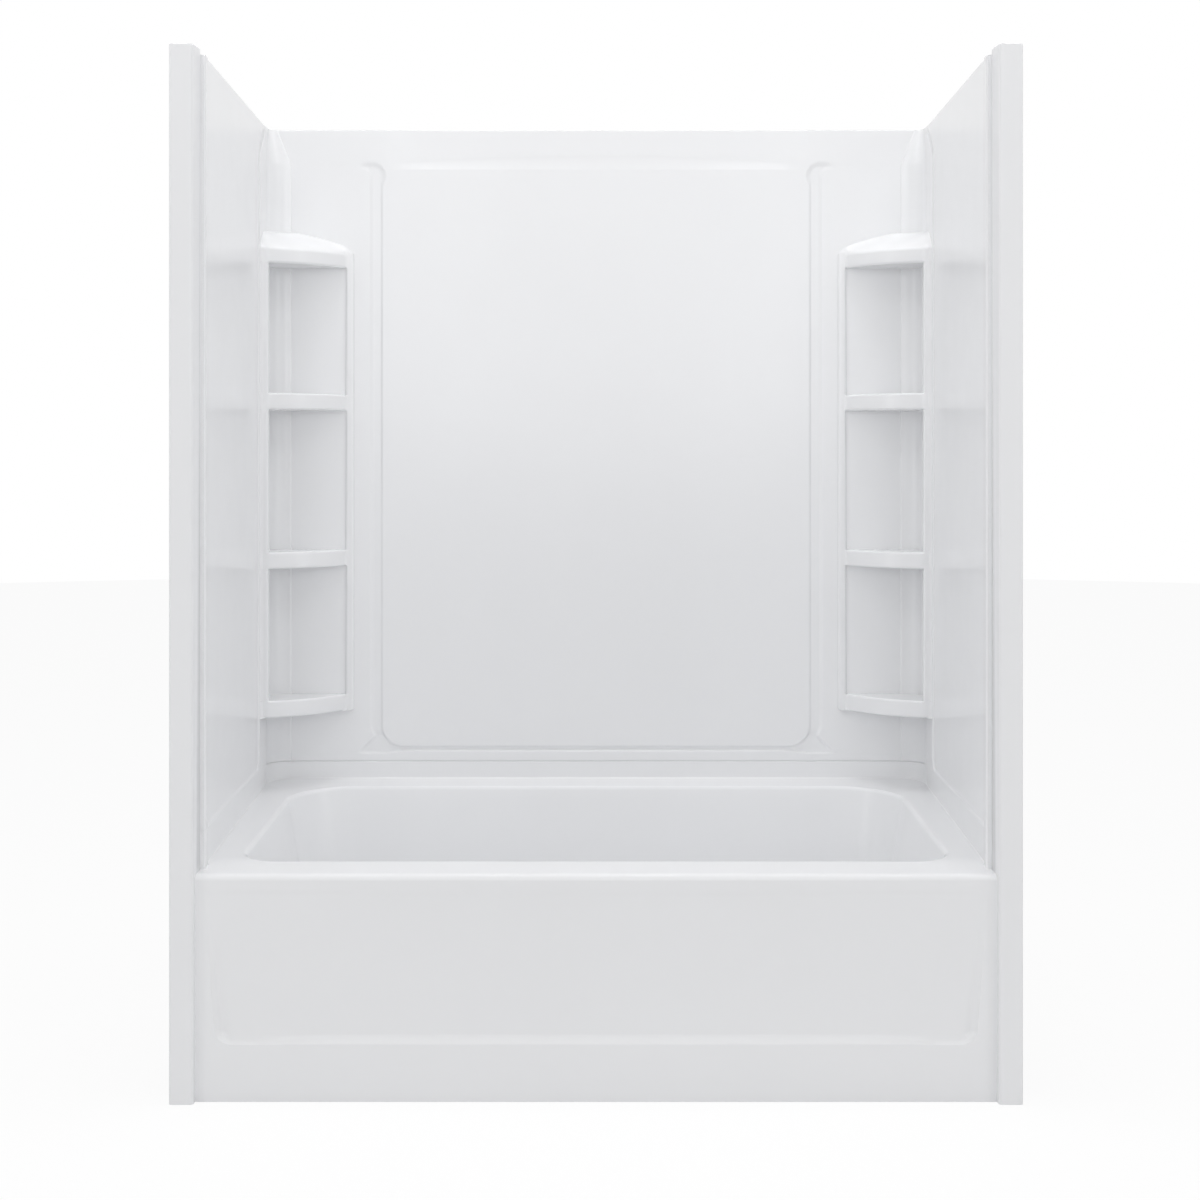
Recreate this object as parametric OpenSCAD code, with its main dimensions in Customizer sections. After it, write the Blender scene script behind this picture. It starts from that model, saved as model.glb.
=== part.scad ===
// Alcove bath with its wall surround: a bath with an integral apron, a back wall,
// two end walls, two front columns and two corner shelf towers.
// X runs along the bath, Y from front to back and Z up. The origin is on the floor,
// at the middle of the kit's outline.

/* [Overall] */
// Width over the two front columns
kit_w = 1530; // [1480:1:1640]
// Depth from the column faces to the plane of the wall studs
kit_d = 813; // [790:1:880]
// Height of the front columns
kit_h = 1900; // [1860:1:2050]

/* [Front columns] */
// Width of a column's front face
column_face = 43; // [40:1:52]
// Depth of a column's channel
column_depth = 44; // [40:1:56]
// How much a column widens from its face to its back
column_flare = 4; // [0:0.5:6]
// Wall of the column's channel
column_wall = 4; // [3:0.5:5]
// Radius of the column's front corners
column_round = 5; // [2:0.5:7]
// Slot between the two lips at the back of a column
column_slot = 12; // [10:0.5:14]

/* [Wall panels] */
// Step from the top of a column down to the top of the walls
wall_drop = 10; // [4:1:30]
// Thickness of the moulded wall sheets
wall_sheet = 4.5; // [3.5:0.5:6]
// Distance of an end wall's face from the studs at the front
side_stand_front = 54; // [50:1:64]
// Distance of an end wall's face from the studs at the back
side_stand_back = 34; // [30:1:46]
// Height of the raised panel on an end wall
side_panel_rise = 2.5; // [1:0.5:4]
// Distance of the raised panel's rear edge from the back studs
side_panel_gap = 158; // [156:1:180]
// Radius of the raised panel's lower rear corner
side_panel_round = 30; // [10:1:60]
// Distance of the back wall's face from the studs
back_stand = 25; // [22:1:34]
// Radius of the hollow corner between end wall and back wall
cove_r = 48; // [36:1:60]
// How far the back wall reaches behind each end wall's edge
tongue_w = 22; // [14:1:28]

/* [Back wall relief] */
// Width of the centre panel
centre_w = 952; // [880:1:980]
// Height of the panels above the grooves
panel_rise = 5; // [3:0.5:6]
// Width of the upright grooves
groove_w = 26; // [18:1:32]
// Height of the smooth band above the panels
frieze_h = 89; // [70:1:120]
// Height of the rail above the bath's edge
rail_h = 27; // [20:1:40]
// Gap between the rail and the centre panel
rail_gap = 7; // [4:1:12]
// Radius of the centre panel's lower corners
centre_round = 45; // [20:1:60]
// Radius of the side panels' inner corners
side_round = 30; // [10:1:40]
// Height of the curved ledge over the centre panel
crest_h = 33; // [15:1:45]
// Distance of the curved ledge's ends from the centre panel's edges
crest_inset = 39; // [20:1:60]

/* [Shelf towers] */
// Height of the lowest shelf's underside above the floor
tower_foot = 594; // [560:1:640]
// Clear height of the lower niche
niche_low = 288; // [240:1:300]
// Clear height of the middle niche
niche_mid = 312; // [240:1:320]
// Clear height of the upper niche
niche_top = 287; // [240:1:290]
// Thickness of the three shelves
shelf_t = 33; // [24:1:36]
// Thickness of the cap at its front edge
cap_t = 27; // [20:1:34]
// Rise of the cap from its front edge to the corner
cap_rise = 42; // [20:1:60]
// Reach of a shelf along the end wall
shelf_reach_side = 128; // [110:1:140]
// Reach of a shelf along the back wall
shelf_reach_back = 173; // [150:1:178]
// Bulge of the shelves' curved front edges
shelf_bulge = 20; // [10:1:28]
// Width of the upright stiles beside the niches
stile_w = 19; // [14:1:24]
// Thickness of the stiles
stile_t = 6; // [4:0.5:8]

/* [Bath] */
// Thickness of the bath's shell
bath_sheet = 5; // [4:0.5:6]
// Height of the front lip
lip_h = 409; // [390:1:450]
// Radius of the front lip
lip_r = 12; // [8:1:16]
// Distance of the apron behind the column faces
apron_setback = 15; // [12:1:22]
// Gap between the apron's ends and the back edges of the columns
apron_gap = 0.5; // [0.3:0.1:2]
// Width of the front rim, from apron to basin
front_rim = 75; // [65:1:95]
// Width of the side ledges
side_ledge = 56; // [50:1:70]
// Width of the rear ledge
rear_ledge = 60; // [50:1:80]
// Rise of the front rim over its width
front_rise = 8; // [4:1:12]
// Rise of the deck from the front of the basin to its rear
deck_rise = 18; // [0:1:24]
// Rise of the rear ledge
ledge_rise = 9; // [4:1:14]
// Height of the bath's rear and side edges, where the walls stand on it
edge_h = 481; // [475:1:510]
// Height of the nailing flange above that edge
nail_flange = 25; // [15:1:35]
// Height of the basin's floor above the ground
basin_floor = 100; // [96:1:120]
// Lean of the basin's sides over their height
basin_lean = 60; // [40:1:80]
// Radius of the basin's front corners at the rim
basin_front_r = 70; // [60:1:90]
// Radius of the basin's rear corners at the rim
basin_rear_r = 130; // [100:1:150]
// Radius between the basin's sides and its floor
basin_fillet = 66; // [40:1:70]
// Height of the band along the foot of the apron
apron_band = 102; // [70:1:120]
// Depth of the recess in the apron, at its foot
apron_recess = 11; // [5:0.5:12]
// Distance of the recess from the apron's ends, at its foot
apron_margin = 40; // [30:1:60]
// Height of the sloping ledge at the foot of the recess
apron_ledge = 16; // [8:1:24]
// Radius of the recess's lower corners
apron_round = 26; // [10:1:40]
// Distance between the holes along the back nailing flange
nail_pitch = 400; // [300:10:440]
// Distance between the two holes in a side nailing flange
side_nail_pitch = 400; // [200:10:500]

/* [Supports] */
// Length of each foam block under the basin
pad_l = 300; // [200:5:340]
// Width of the foam blocks
pad_w = 380; // [200:5:420]
// Distance between the two foam blocks
pad_gap = 80; // [40:5:120]
// Distance of the blocks' middle from the middle of the bath
pad_shift = 60; // [20:5:80]
// Thickness of the board behind the apron
brace_t = 18; // [12:1:25]
// Height of the board behind the apron
brace_h = 78; // [40:1:80]
// Thickness of the batten under the front rim
batten_t = 20; // [12:1:25]

/* [Drain and overflow] */
// Distance of the drain's centre from the basin's end at its rim
drain_setback = 200; // [180:1:230]
// Diameter of the hole for the drain
drain_hole = 51; // [51:0.5:54]
// Diameter of the drain's flange
drain_flange = 76; // [72:1:84]
// Travel of the stopper
stopper_travel = 9; // [4:1:10]
// Height of the overflow's centre above the ground
overflow_h = 305; // [290:1:320]
// Diameter of the overflow plate
overflow_plate_d = 70; // [66:1:80]
// Outside diameter of the waste pipes
pipe_d = 38; // [36:1:40]
// Wall of the waste pipes
pipe_wall = 2; // [1.5:0.5:3]
// Height of the horizontal waste pipe's axis
waste_h = 58; // [56:1:60]

/* [Fixings] */
// Number of clips that hold each column
clip_count = 5; // [3:1:8]
// Height of the lowest and distance of the highest clip from the columns' ends
clip_low = 120; // [60:5:200]
// Length of a clip
clip_l = 28; // [16:1:40]
// Shank diameter of the screws
screw_d = 4.2; // [3.5:0.1:5]
// Head diameter of the screws
head_d = 8; // [7:0.5:9]
// Diameter of the holes for nails in the bath's flange
nail_hole = 5; // [4:0.5:6]
// Clearance between parts that fit together
fit = 0.3; // [0.2:0.05:0.5]

/* [Hidden] */

white = [0.93, 0.935, 0.945];
chrome = [0.78, 0.79, 0.81];
pipe_grey = [0.86, 0.86, 0.84];
rubber_black = [0.13, 0.13, 0.14];
steel = [0.66, 0.67, 0.69];
pad_colour = [0.84, 0.86, 0.88];
timber = [0.78, 0.62, 0.42];

// Planes of the outline
side_x = kit_w / 2;
front_y = -kit_d / 2;
back_y = kit_d / 2;
flange_y = front_y + column_depth;
face_y = back_y - back_stand;
wall_top = kit_h - wall_drop;

// Plan line of an end wall's base face, from the flange to the back wall
side_x_front = side_x - side_stand_front;
side_x_back = side_x - side_stand_back;
side_slope = (side_x_back - side_x_front) / (face_y - flange_y);
side_turn = atan(side_slope);
function side_face(y, o = 0) = side_x_front + side_slope * (y - flange_y) + o / cos(side_turn);

// Centre of the hollow corner and the seam where its edge meets the back wall
cove_y = face_y - cove_r;
cove_x = side_face(cove_y) - cove_r / cos(side_turn);
edge_r = 3;
function arc(c, r, a0, a1, n = 10) =
    [for (i = [0:n]) c + r * [cos(a0 + (a1 - a0) * i / n), sin(a0 + (a1 - a0) * i / n)]];
function backward(v) = [for (i = [len(v) - 1:-1:0]) v[i]];
function mirrored(v) = [for (p = v) [-p[0], p[1]]];

// The right-hand plan line, o outside the wall's base face, from front to seam
function side_line(o) = concat([[side_face(flange_y, o), flange_y]],
    arc([cove_x, cove_y], cove_r + o, -side_turn, 90, 12));

// Bath heights along Y, from the lip to the foot of the upstand
apron_y = front_y + apron_setback;
basin_y0 = apron_y + front_rim;
basin_y1 = face_y - rear_ledge;
basin_mid = (basin_y0 + basin_y1) / 2;
basin_x = side_x_front - side_ledge;
rim_front_h = lip_h + front_rise;
rim_rear_h = rim_front_h + deck_rise;
ledge_h = rim_rear_h + ledge_rise;
rim_mid_h = (rim_front_h + rim_rear_h) / 2;
lip_c = [apron_y + lip_r, lip_h - lip_r];
apron_x = side_x - column_face - column_flare - apron_gap;
skirt_h = 24;
nail_z = edge_h + nail_flange / 2;

// Deck's top line in the YZ plane, moved inwards by o
function deck_top(o) = concat(arc(lip_c, lip_r - o, 180, 90, 6),
    [[basin_y0, rim_front_h - o], [basin_y1, rim_rear_h - o],
     [face_y + bath_sheet, ledge_h - o]]);

// Inset of the basin's sides at a height, and of its floor's corners
function basin_inset(z) = basin_lean * (rim_mid_h - z) / (rim_mid_h - basin_floor);
basin_turn = atan(basin_lean / (rim_mid_h - basin_floor));
basin_top = rim_rear_h + 12;

// Places of the waste fittings, at the left-hand end
drain = [drain_setback - basin_x, basin_mid, basin_floor];
overflow_x = -(basin_x - basin_inset(overflow_h));
overflow_hole = 46;
gasket_t = 4;
head_t = 5;
plate_rise = 9;
plate_screw_r = 1.2;
plate_head_h = 2;
tube_l = 34;
flange_rise = 2.4;
cap_rise_h = 9;
post_top = -2;
sleeve_grip = 11;
socket_deep = 24;
socket_floor = 2;
bend_r = 28;
pipe_r = pipe_d / 2;
plate_screw = (overflow_hole / 2 - 1 + pipe_r - pipe_wall) / 2;
bend_out = bath_sheet + gasket_t + head_t;
bend_angle = 90 - basin_turn;
// Axis of the vertical overflow pipe
pipe_x = overflow_x - bend_out * cos(basin_turn) - bend_r * (1 - sin(basin_turn));
bend_end_z = overflow_h - bend_out * sin(basin_turn) - bend_r * cos(basin_turn);
socket_r = pipe_r + fit + 3;
nut_r = socket_r + 6;
nut_l = 14;
nut_past = 5;
tee_half = 32;
branch_l = socket_r + 22;
under_floor = basin_floor - bath_sheet;
shoe_top = under_floor - gasket_t;
tube_r = drain_hole / 2 - 0.5;
post_r = 4;

// Column screws and clips
clip_pitch = (wall_top - 2 * clip_low) / (clip_count - 1);
clip_head = 4;
clip_wing = 5;
lip_gap_x = side_x - column_face / 2 - column_flare / 2;
clip_y = flange_y - column_wall - clip_head - fit;
head_h = 2.2;
hole_r = screw_d / 2 + 0.15;
pilot_r = screw_d / 2 + 0.05;
screw_reach = 22;
back_screw_l = 30;
screw_inset = 20;
screw_from_seam = 40;

// Shelves
shelf_z = [tower_foot, tower_foot + shelf_t + niche_low,
    tower_foot + 2 * shelf_t + niche_low + niche_mid,
    tower_foot + 3 * shelf_t + niche_low + niche_mid + niche_top];
tower_top = shelf_z[3] + cap_t;
shelf_y0 = face_y - shelf_reach_side;
shelf_x1 = side_x_back - shelf_reach_back;
shelf_a = [side_face(shelf_y0) - stile_w, shelf_y0];
shelf_b = [shelf_x1, face_y - stile_t];
chord = shelf_b - shelf_a;
chord_l = norm(chord);
shelf_r = chord_l * chord_l / (8 * shelf_bulge) + shelf_bulge / 2;
shelf_n = [-chord[1], chord[0]] / chord_l;
shelf_c = (shelf_a + shelf_b) / 2 - shelf_n * (shelf_r - shelf_bulge);
function turn_of(p) = atan2(p[1] - shelf_c[1], p[0] - shelf_c[0]);
function full_turn(a) = a < 0 ? a + 360 : a;
shelf_arc = arc(shelf_c, shelf_r, full_turn(turn_of(shelf_a)), full_turn(turn_of(shelf_b)), 16);

// Plan of a shelf: curved front edge, back wall, hollow corner, end wall
function shelf_plan(gap) = concat(
    [[side_face(shelf_y0) - gap, shelf_y0]], shelf_arc,
    [[shelf_x1, face_y - gap]],
    backward(arc([cove_x, cove_y], cove_r - gap, -side_turn, 90, 12)));

module right_and_left() {
    children();
    mirror([1, 0, 0]) children();
}

// Extrudes a drawing in Y and Z along X, centred
module along_x(half) {
    rotate([90, 0, 90]) translate([0, 0, -half]) linear_extrude(2 * half) children();
}

// Extrudes a drawing in X and Z along Y, from y0 to y1
module along_y(y0, y1) {
    translate([0, y1, 0]) rotate([90, 0, 0]) linear_extrude(y1 - y0) children();
}

// Rectangle with four corner radii: lower left, lower right, upper right, upper left
module rounded(x0, x1, z0, z1, r) {
    polygon(concat(arc([x0 + r[0], z0 + r[0]], r[0], 180, 270),
        arc([x1 - r[1], z0 + r[1]], r[1], 270, 360),
        arc([x1 - r[2], z1 - r[2]], r[2], 0, 90),
        arc([x0 + r[3], z1 - r[3]], r[3], 90, 180)));
}

// Tube along Z, from z0 to z1
module tube(r, bore, z0, z1) {
    difference() {
        translate([0, 0, z0]) cylinder(h = z1 - z0, r = r, $fn = 64);
        translate([0, 0, z0 - 1]) cylinder(h = z1 - z0 + 2, r = bore, $fn = 64);
    }
}

// Rod along Y, from y0 to y1
module rod_y(x, z, r, y0, y1) {
    translate([x, y0, z]) rotate([-90, 0, 0]) cylinder(h = y1 - y0, r = r, $fn = 32);
}

// Four posts of one slice through the basin, o outside its inner face
module basin_slice(z, inset, o) {
    fr = max(basin_front_r - inset / 2, 12);
    rr = max(basin_rear_r - inset / 2, 12);
    for (s = [-1, 1]) {
        translate([s * (basin_x - inset - fr), basin_y0 + inset * 0.6 + fr, z])
            cylinder(h = 0.5, r = fr + o, $fn = 40);
        translate([s * (basin_x - inset - rr), basin_y1 - inset * 0.6 - rr, z])
            cylinder(h = 0.5, r = rr + o, $fn = 40);
    }
}

// The basin's form, o outside its inner face and ending top above the ground
module basin_form(o) {
    hull() {
        basin_slice(basin_top, basin_inset(basin_top), o);
        basin_slice(basin_floor + basin_fillet, basin_inset(basin_floor + basin_fillet), o);
        basin_slice(basin_floor + basin_fillet * 0.3 - o * 0.7,
            basin_inset(basin_floor) + basin_fillet * 0.28, o * 0.7);
        basin_slice(basin_floor - o, basin_inset(basin_floor) + basin_fillet, 0);
    }
}

// Flat sheet of the deck and the front of the apron, as one folded section
module deck_section() {
    apron_back = apron_y + apron_recess;
    polygon(concat([[apron_y + bath_sheet, 0], [apron_y, 0], [apron_y, apron_band],
            [apron_back, apron_band + apron_ledge]],
        deck_top(0), backward(deck_top(bath_sheet)),
        [[apron_back + bath_sheet, apron_band + apron_ledge - bath_sheet],
         [apron_y + bath_sheet, apron_band - bath_sheet]]));
}

// The deck's outline seen from above
module deck_plan() {
    line = side_line(bath_sheet / 2);
    polygon(concat([[-apron_x, front_y], [apron_x, front_y], [apron_x, flange_y]], line,
        backward(mirrored(line)), [[-apron_x, flange_y]]));
}

// Frame of the apron, round its recess
module apron_frame() {
    foot_x = apron_x - apron_margin;
    head_x = apron_x - apron_margin / 2;
    head_z = lip_h - 2 * lip_r;
    r = apron_round;
    difference() {
        translate([-apron_x, 0]) square([2 * apron_x, head_z]);
        polygon(concat([[head_x, head_z + 1], [-head_x, head_z + 1]],
            arc([-foot_x + r, apron_band + r], r, 172, 270, 8),
            arc([foot_x - r, apron_band + r], r, 270, 368, 8)));
    }
}

// Cheek that closes an end of the apron
module apron_cheek() {
    polygon(concat([[apron_y, 0]], arc(lip_c, lip_r, 180, 90, 6),
        [[flange_y + bath_sheet, lip_h + 3], [flange_y + bath_sheet, 0]]));
}

// Upstand round the deck, in plan
module upstand_plan() {
    inner = side_line(0);
    outer = side_line(bath_sheet);
    polygon(concat(inner, backward(mirrored(inner)), mirrored(outer), backward(outer)));
}

// Ledge on top of the upstand, reaching back to the studs
module edge_plan() {
    inner = side_line(0);
    polygon(concat([[side_x, flange_y]], inner, backward(mirrored(inner)),
        [[-side_x, flange_y], [-side_x, back_y], [side_x, back_y]]));
}

module nail_flange_plan() {
    t = bath_sheet - 1;
    polygon([[side_x, flange_y + bath_sheet], [side_x - t, flange_y + bath_sheet],
        [side_x - t, back_y - t], [-side_x + t, back_y - t],
        [-side_x + t, flange_y + bath_sheet], [-side_x, flange_y + bath_sheet],
        [-side_x, back_y], [side_x, back_y]]);
}

// Holes for the column screws whose height is between z0 and z1
module column_screw_holes(z0, z1) {
    for (i = [0:clip_count - 1]) {
        z = clip_low + i * clip_pitch;
        if (z > z0 - hole_r && z < z1 + hole_r)
            rod_y(lip_gap_x, z, hole_r, flange_y - 1, flange_y + screw_reach + 1);
    }
}

// Bath shell with basin, deck, apron, upstand and nailing flange
module bath() {
    flange_in = apron_x - bath_sheet;
    color(white) difference() {
        union() {
            intersection() {
                along_x(side_x) deck_section();
                linear_extrude(edge_h) deck_plan();
            }
            intersection() {
                basin_form(bath_sheet);
                along_x(side_x) polygon(concat([[apron_y, 0]], deck_top(0),
                    [[face_y + bath_sheet, 0]]));
            }
            along_y(apron_y, apron_y + bath_sheet) apron_frame();
            translate([0, 0, lip_h - skirt_h]) linear_extrude(edge_h - lip_h + skirt_h) upstand_plan();
            translate([0, 0, edge_h - bath_sheet]) linear_extrude(bath_sheet) edge_plan();
            translate([0, 0, edge_h - bath_sheet]) linear_extrude(bath_sheet + nail_flange)
                nail_flange_plan();
            right_and_left() {
                translate([flange_in + bath_sheet / 2, 0, 0]) along_x(bath_sheet / 2)
                    apron_cheek();
                translate([flange_in, flange_y, 0])
                    cube([side_x - flange_in, bath_sheet, edge_h]);
            }
        }
        basin_form(0);
        translate(drain + [0, 0, -20]) cylinder(h = 40, d = drain_hole, $fn = 96);
        on_overflow() translate([0, 0, -20])
            cylinder(h = 40, d = overflow_hole, $fn = 96);
        right_and_left() {
            column_screw_holes(0, edge_h);
            for (s = [-1, 1]) translate([side_x - bath_sheet, s * side_nail_pitch / 2, nail_z])
                rotate([0, 90, 0]) cylinder(h = 2 * bath_sheet, d = nail_hole, $fn = 32);
        }
        for (i = [-1.5:1.5]) rod_y(i * nail_pitch, nail_z, nail_hole / 2, back_y - 2 * bath_sheet,
            back_y + 1);
    }
}

// Puts its children at the overflow, with Z along the axis that leads out of the bath
module on_overflow() {
    translate([overflow_x, basin_mid, overflow_h]) rotate([0, -90 - basin_turn, 0]) children();
}

// Front part and hollow corner of an end wall, in plan
module end_wall_plan() {
    inner = side_line(0);
    outer = side_line(wall_sheet);
    polygon(concat([[side_x, flange_y]],
        arc([side_face(flange_y) + edge_r, flange_y + edge_r], edge_r, 270, 180, 4),
        [for (i = [1:len(inner) - 1]) inner[i]],
        [for (i = [len(outer) - 1:-1:1]) outer[i]],
        [[side_face(flange_y + wall_sheet, wall_sheet), flange_y + wall_sheet],
         [side_x, flange_y + wall_sheet]]));
}

// Return at the top and the foot of an end wall, out to the studs
module end_return_plan(inset) {
    inner = side_line(0);
    clear_x = cove_x + tongue_w + fit;
    polygon(concat([[side_x - inset, flange_y]],
        arc([side_face(flange_y) + edge_r, flange_y + edge_r], edge_r, 270, 180, 4),
        [for (i = [1:len(inner) - 1]) inner[i]],
        [[cove_x, face_y + wall_sheet], [clear_x, face_y + wall_sheet],
         [clear_x, back_y - inset], [side_x - inset, back_y - inset]]));
}

// Raised panel on an end wall, in plan and as seen from the side
module side_panel_strip() {
    y1 = back_y - side_panel_gap;
    polygon([[side_face(flange_y + edge_r, 1), flange_y + edge_r],
        [side_face(flange_y + edge_r + 2, -side_panel_rise), flange_y + edge_r + 2],
        [side_face(y1 - side_panel_rise, -side_panel_rise), y1 - side_panel_rise],
        [side_face(y1, 1), y1]]);
}

module end_wall() {
    h = wall_top - edge_h;
    color(white) difference() {
        union() {
            translate([0, 0, edge_h]) linear_extrude(h) end_wall_plan();
            translate([0, 0, wall_top - wall_sheet]) linear_extrude(wall_sheet)
                end_return_plan(0);
            translate([0, 0, edge_h]) linear_extrude(wall_sheet)
                end_return_plan(bath_sheet + 1);
            intersection() {
                translate([0, 0, edge_h]) linear_extrude(h - 3) side_panel_strip();
                along_x(side_x) rounded(flange_y, back_y - side_panel_gap, edge_h + 7,
                    wall_top - 3, [3, side_panel_round, 3, 3]);
            }
        }
        column_screw_holes(edge_h, wall_top);
        tower_screw_places(true) cylinder(h = 3 * wall_sheet, r = hole_r, center = true, $fn = 32);
    }
}

module left_end_wall() {
    mirror([1, 0, 0]) end_wall();
}

module right_end_wall() {
    end_wall();
}

// Places of the screws that hold a tower, with Z along each screw towards the tower
module tower_screw_places(on_side) {
    screw_y = face_y - cove_r - screw_inset;
    screw_x = cove_x - screw_from_seam;
    for (z = shelf_z) {
        if (on_side)
            translate([side_face(screw_y, wall_sheet), screw_y, z + shelf_t / 2.5])
                rotate([0, -90, 0]) rotate([-side_turn, 0, 0]) children();
        else
            translate([screw_x, face_y + panel_rise + wall_sheet, z + shelf_t / 2.5])
                rotate([90, 0, 0]) children();
    }
}

// Back wall: flat sheet, returns to the studs, and raised panels
module back_wall() {
    plate_y = face_y + panel_rise;
    panel_x = cove_x - 0.5;
    panel_z0 = edge_h + rail_h;
    panel_z1 = wall_top - frieze_h;
    groove_x = centre_w / 2 + groove_w;
    plate_x = cove_x + tongue_w;
    color(white) difference() {
        union() {
            along_y(plate_y, plate_y + wall_sheet) translate([-plate_x, edge_h])
                square([2 * plate_x, wall_top - edge_h]);
            translate([-panel_x, plate_y, wall_top - wall_sheet])
                cube([2 * panel_x, back_stand - panel_rise, wall_sheet]);
            translate([-panel_x, plate_y, edge_h])
                cube([2 * panel_x, back_stand - panel_rise - bath_sheet, wall_sheet]);
            along_y(face_y, plate_y + 1) {
                translate([-panel_x, edge_h]) square([2 * panel_x, rail_h]);
                rounded(-centre_w / 2, centre_w / 2, panel_z0 + rail_gap, panel_z1,
                    [centre_round, centre_round, 5, 5]);
                rounded(groove_x, panel_x, panel_z0 - 1, panel_z1,
                    [side_round, 1, 1, side_round]);
                rounded(-panel_x, -groove_x, panel_z0 - 1, panel_z1,
                    [1, side_round, side_round, 1]);
            }
            crest(plate_y, panel_z1);
        }
        right_and_left() tower_screw_places(false)
            cylinder(h = 3 * (wall_sheet + panel_rise), r = hole_r, center = true, $fn = 32);
    }
}

// Curved ledge over the centre panel, sloping back into the smooth band
module crest(plate_y, z) {
    half = centre_w / 2 - crest_inset;
    r = half * half / (2 * crest_h) + crest_h / 2;
    sweep = asin(half / r);
    hull() {
        translate([0, plate_y + 0.5, 0]) rotate([90, 0, 0]) linear_extrude(0.5)
            polygon(arc([0, z + crest_h - r], r, 90 - sweep, 90 + sweep, 24));
        translate([-half, face_y, z - 2]) cube([2 * half, panel_rise, 1.5]);
    }
}

// C-shaped channel, closed at its top
module column() {
    x0 = side_x - column_face;
    x1 = x0 - column_flare;
    w = column_wall;
    c = column_round;
    lip_a = lip_gap_x - column_slot / 2;
    lip_b = lip_gap_x + column_slot / 2;
    outer = concat(arc([x0 + c, front_y + c], c, 180, 270, 6),
        arc([side_x - c, front_y + c], c, 270, 360, 6),
        [[side_x, flange_y]]);
    color(white) union() {
        linear_extrude(kit_h) polygon(concat(outer,
            [[lip_b, flange_y], [lip_b, flange_y - w], [side_x - w, flange_y - w],
             [side_x - w, front_y + w], [x0 + w, front_y + w],
             [x1 + w + column_flare * w / column_depth, flange_y - w], [lip_a, flange_y - w],
             [lip_a, flange_y], [x1, flange_y]]));
        translate([0, 0, kit_h - w]) linear_extrude(w)
            polygon(concat(outer, [[x1, flange_y]]));
    }
}

module left_column() {
    mirror([1, 0, 0]) column();
}

module right_column() {
    column();
}

// T-shaped clips that stand on the wall's flange and hold a column's lips
module column_clips() {
    stem = column_slot - 2 * fit;
    color(steel) for (i = [0:clip_count - 1])
        translate([lip_gap_x, 0, clip_low + i * clip_pitch]) difference() {
            union() {
                translate([-stem / 2, clip_y, -clip_l / 2])
                    cube([stem, flange_y - clip_y, clip_l]);
                translate([-stem / 2 - clip_wing, clip_y, -clip_l / 2])
                    cube([stem + 2 * clip_wing, clip_head, clip_l]);
            }
            rod_y(0, 0, hole_r, clip_y - 1, flange_y + 1);
        }
}

module left_column_clips() {
    mirror([1, 0, 0]) column_clips();
}

module right_column_clips() {
    column_clips();
}

module column_screws() {
    color(steel) for (i = [0:clip_count - 1])
        translate([0, 0, clip_low + i * clip_pitch]) {
            rod_y(lip_gap_x, 0, screw_d / 2, clip_y - head_h / 2, flange_y + screw_reach);
            rod_y(lip_gap_x, 0, head_d / 2, clip_y - head_h, clip_y);
        }
}

module left_column_screws() {
    mirror([1, 0, 0]) column_screws();
}

module right_column_screws() {
    column_screws();
}

// Corner tower: four shelves between two stiles, with a cap that rises to the walls
module shelf_tower() {
    h = tower_top - tower_foot;
    color(white) difference() {
        union() {
            for (i = [0:3])
                translate([0, 0, shelf_z[i]])
                    linear_extrude(i == 3 ? cap_t : shelf_t) polygon(shelf_plan(fit));
            translate([0, 0, tower_foot]) linear_extrude(h)
                polygon([shelf_a, shelf_a + [0, stile_t],
                    [side_face(shelf_y0 + stile_t) - fit, shelf_y0 + stile_t],
                    [side_face(shelf_y0) - fit, shelf_y0]]);
            translate([shelf_x1 - stile_w, face_y - stile_t, tower_foot])
                cube([stile_w, stile_t, h]);
            cap_slope();
        }
        tower_screw_places(true) cylinder(h = screw_reach + 1, r = pilot_r, $fn = 32);
        tower_screw_places(false) cylinder(h = back_screw_l + 1, r = pilot_r, $fn = 32);
    }
}

// Top of the cap, rising from its front edge to the corner
module cap_slope() {
    top = arc([cove_x, cove_y], cove_r - fit, -side_turn, 90, 8);
    hull() {
        translate([0, 0, tower_top - 1]) linear_extrude(1) polygon(shelf_plan(fit));
        translate([0, 0, tower_top]) linear_extrude(cap_rise)
            polygon(concat(top, [[cove_x, cove_y + cove_r / 2]]));
    }
}

module left_shelf_tower() {
    mirror([1, 0, 0]) shelf_tower();
}

module right_shelf_tower() {
    shelf_tower();
}

module tower_screws() {
    color(steel) {
        tower_screw_places(true) plain_screw(screw_reach);
        tower_screw_places(false) plain_screw(back_screw_l);
    }
}

// Screw along Z, its head below the origin and l of its shank above
module plain_screw(l) {
    translate([0, 0, -head_h]) cylinder(h = head_h, r = head_d / 2, $fn = 32);
    translate([0, 0, -head_h / 2]) cylinder(h = l + head_h / 2, d = screw_d, $fn = 32);
}

module left_tower_screws() {
    mirror([1, 0, 0]) tower_screws();
}

module right_tower_screws() {
    tower_screws();
}

// Blocks of stiff foam that carry the basin's floor
module basin_pads() {
    color(pad_colour) for (x = [-pad_l - pad_gap / 2, pad_gap / 2])
        translate([pad_shift + x, basin_mid - pad_w / 2, 0]) cube([pad_l, pad_w, under_floor]);
}

// Board behind the foot of the apron
module apron_brace() {
    l = 2 * (apron_x - apron_margin);
    color(timber) translate([-l / 2, apron_y + bath_sheet, (apron_band - bath_sheet - brace_h) / 2])
        cube([l, brace_t, brace_h]);
}

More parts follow.
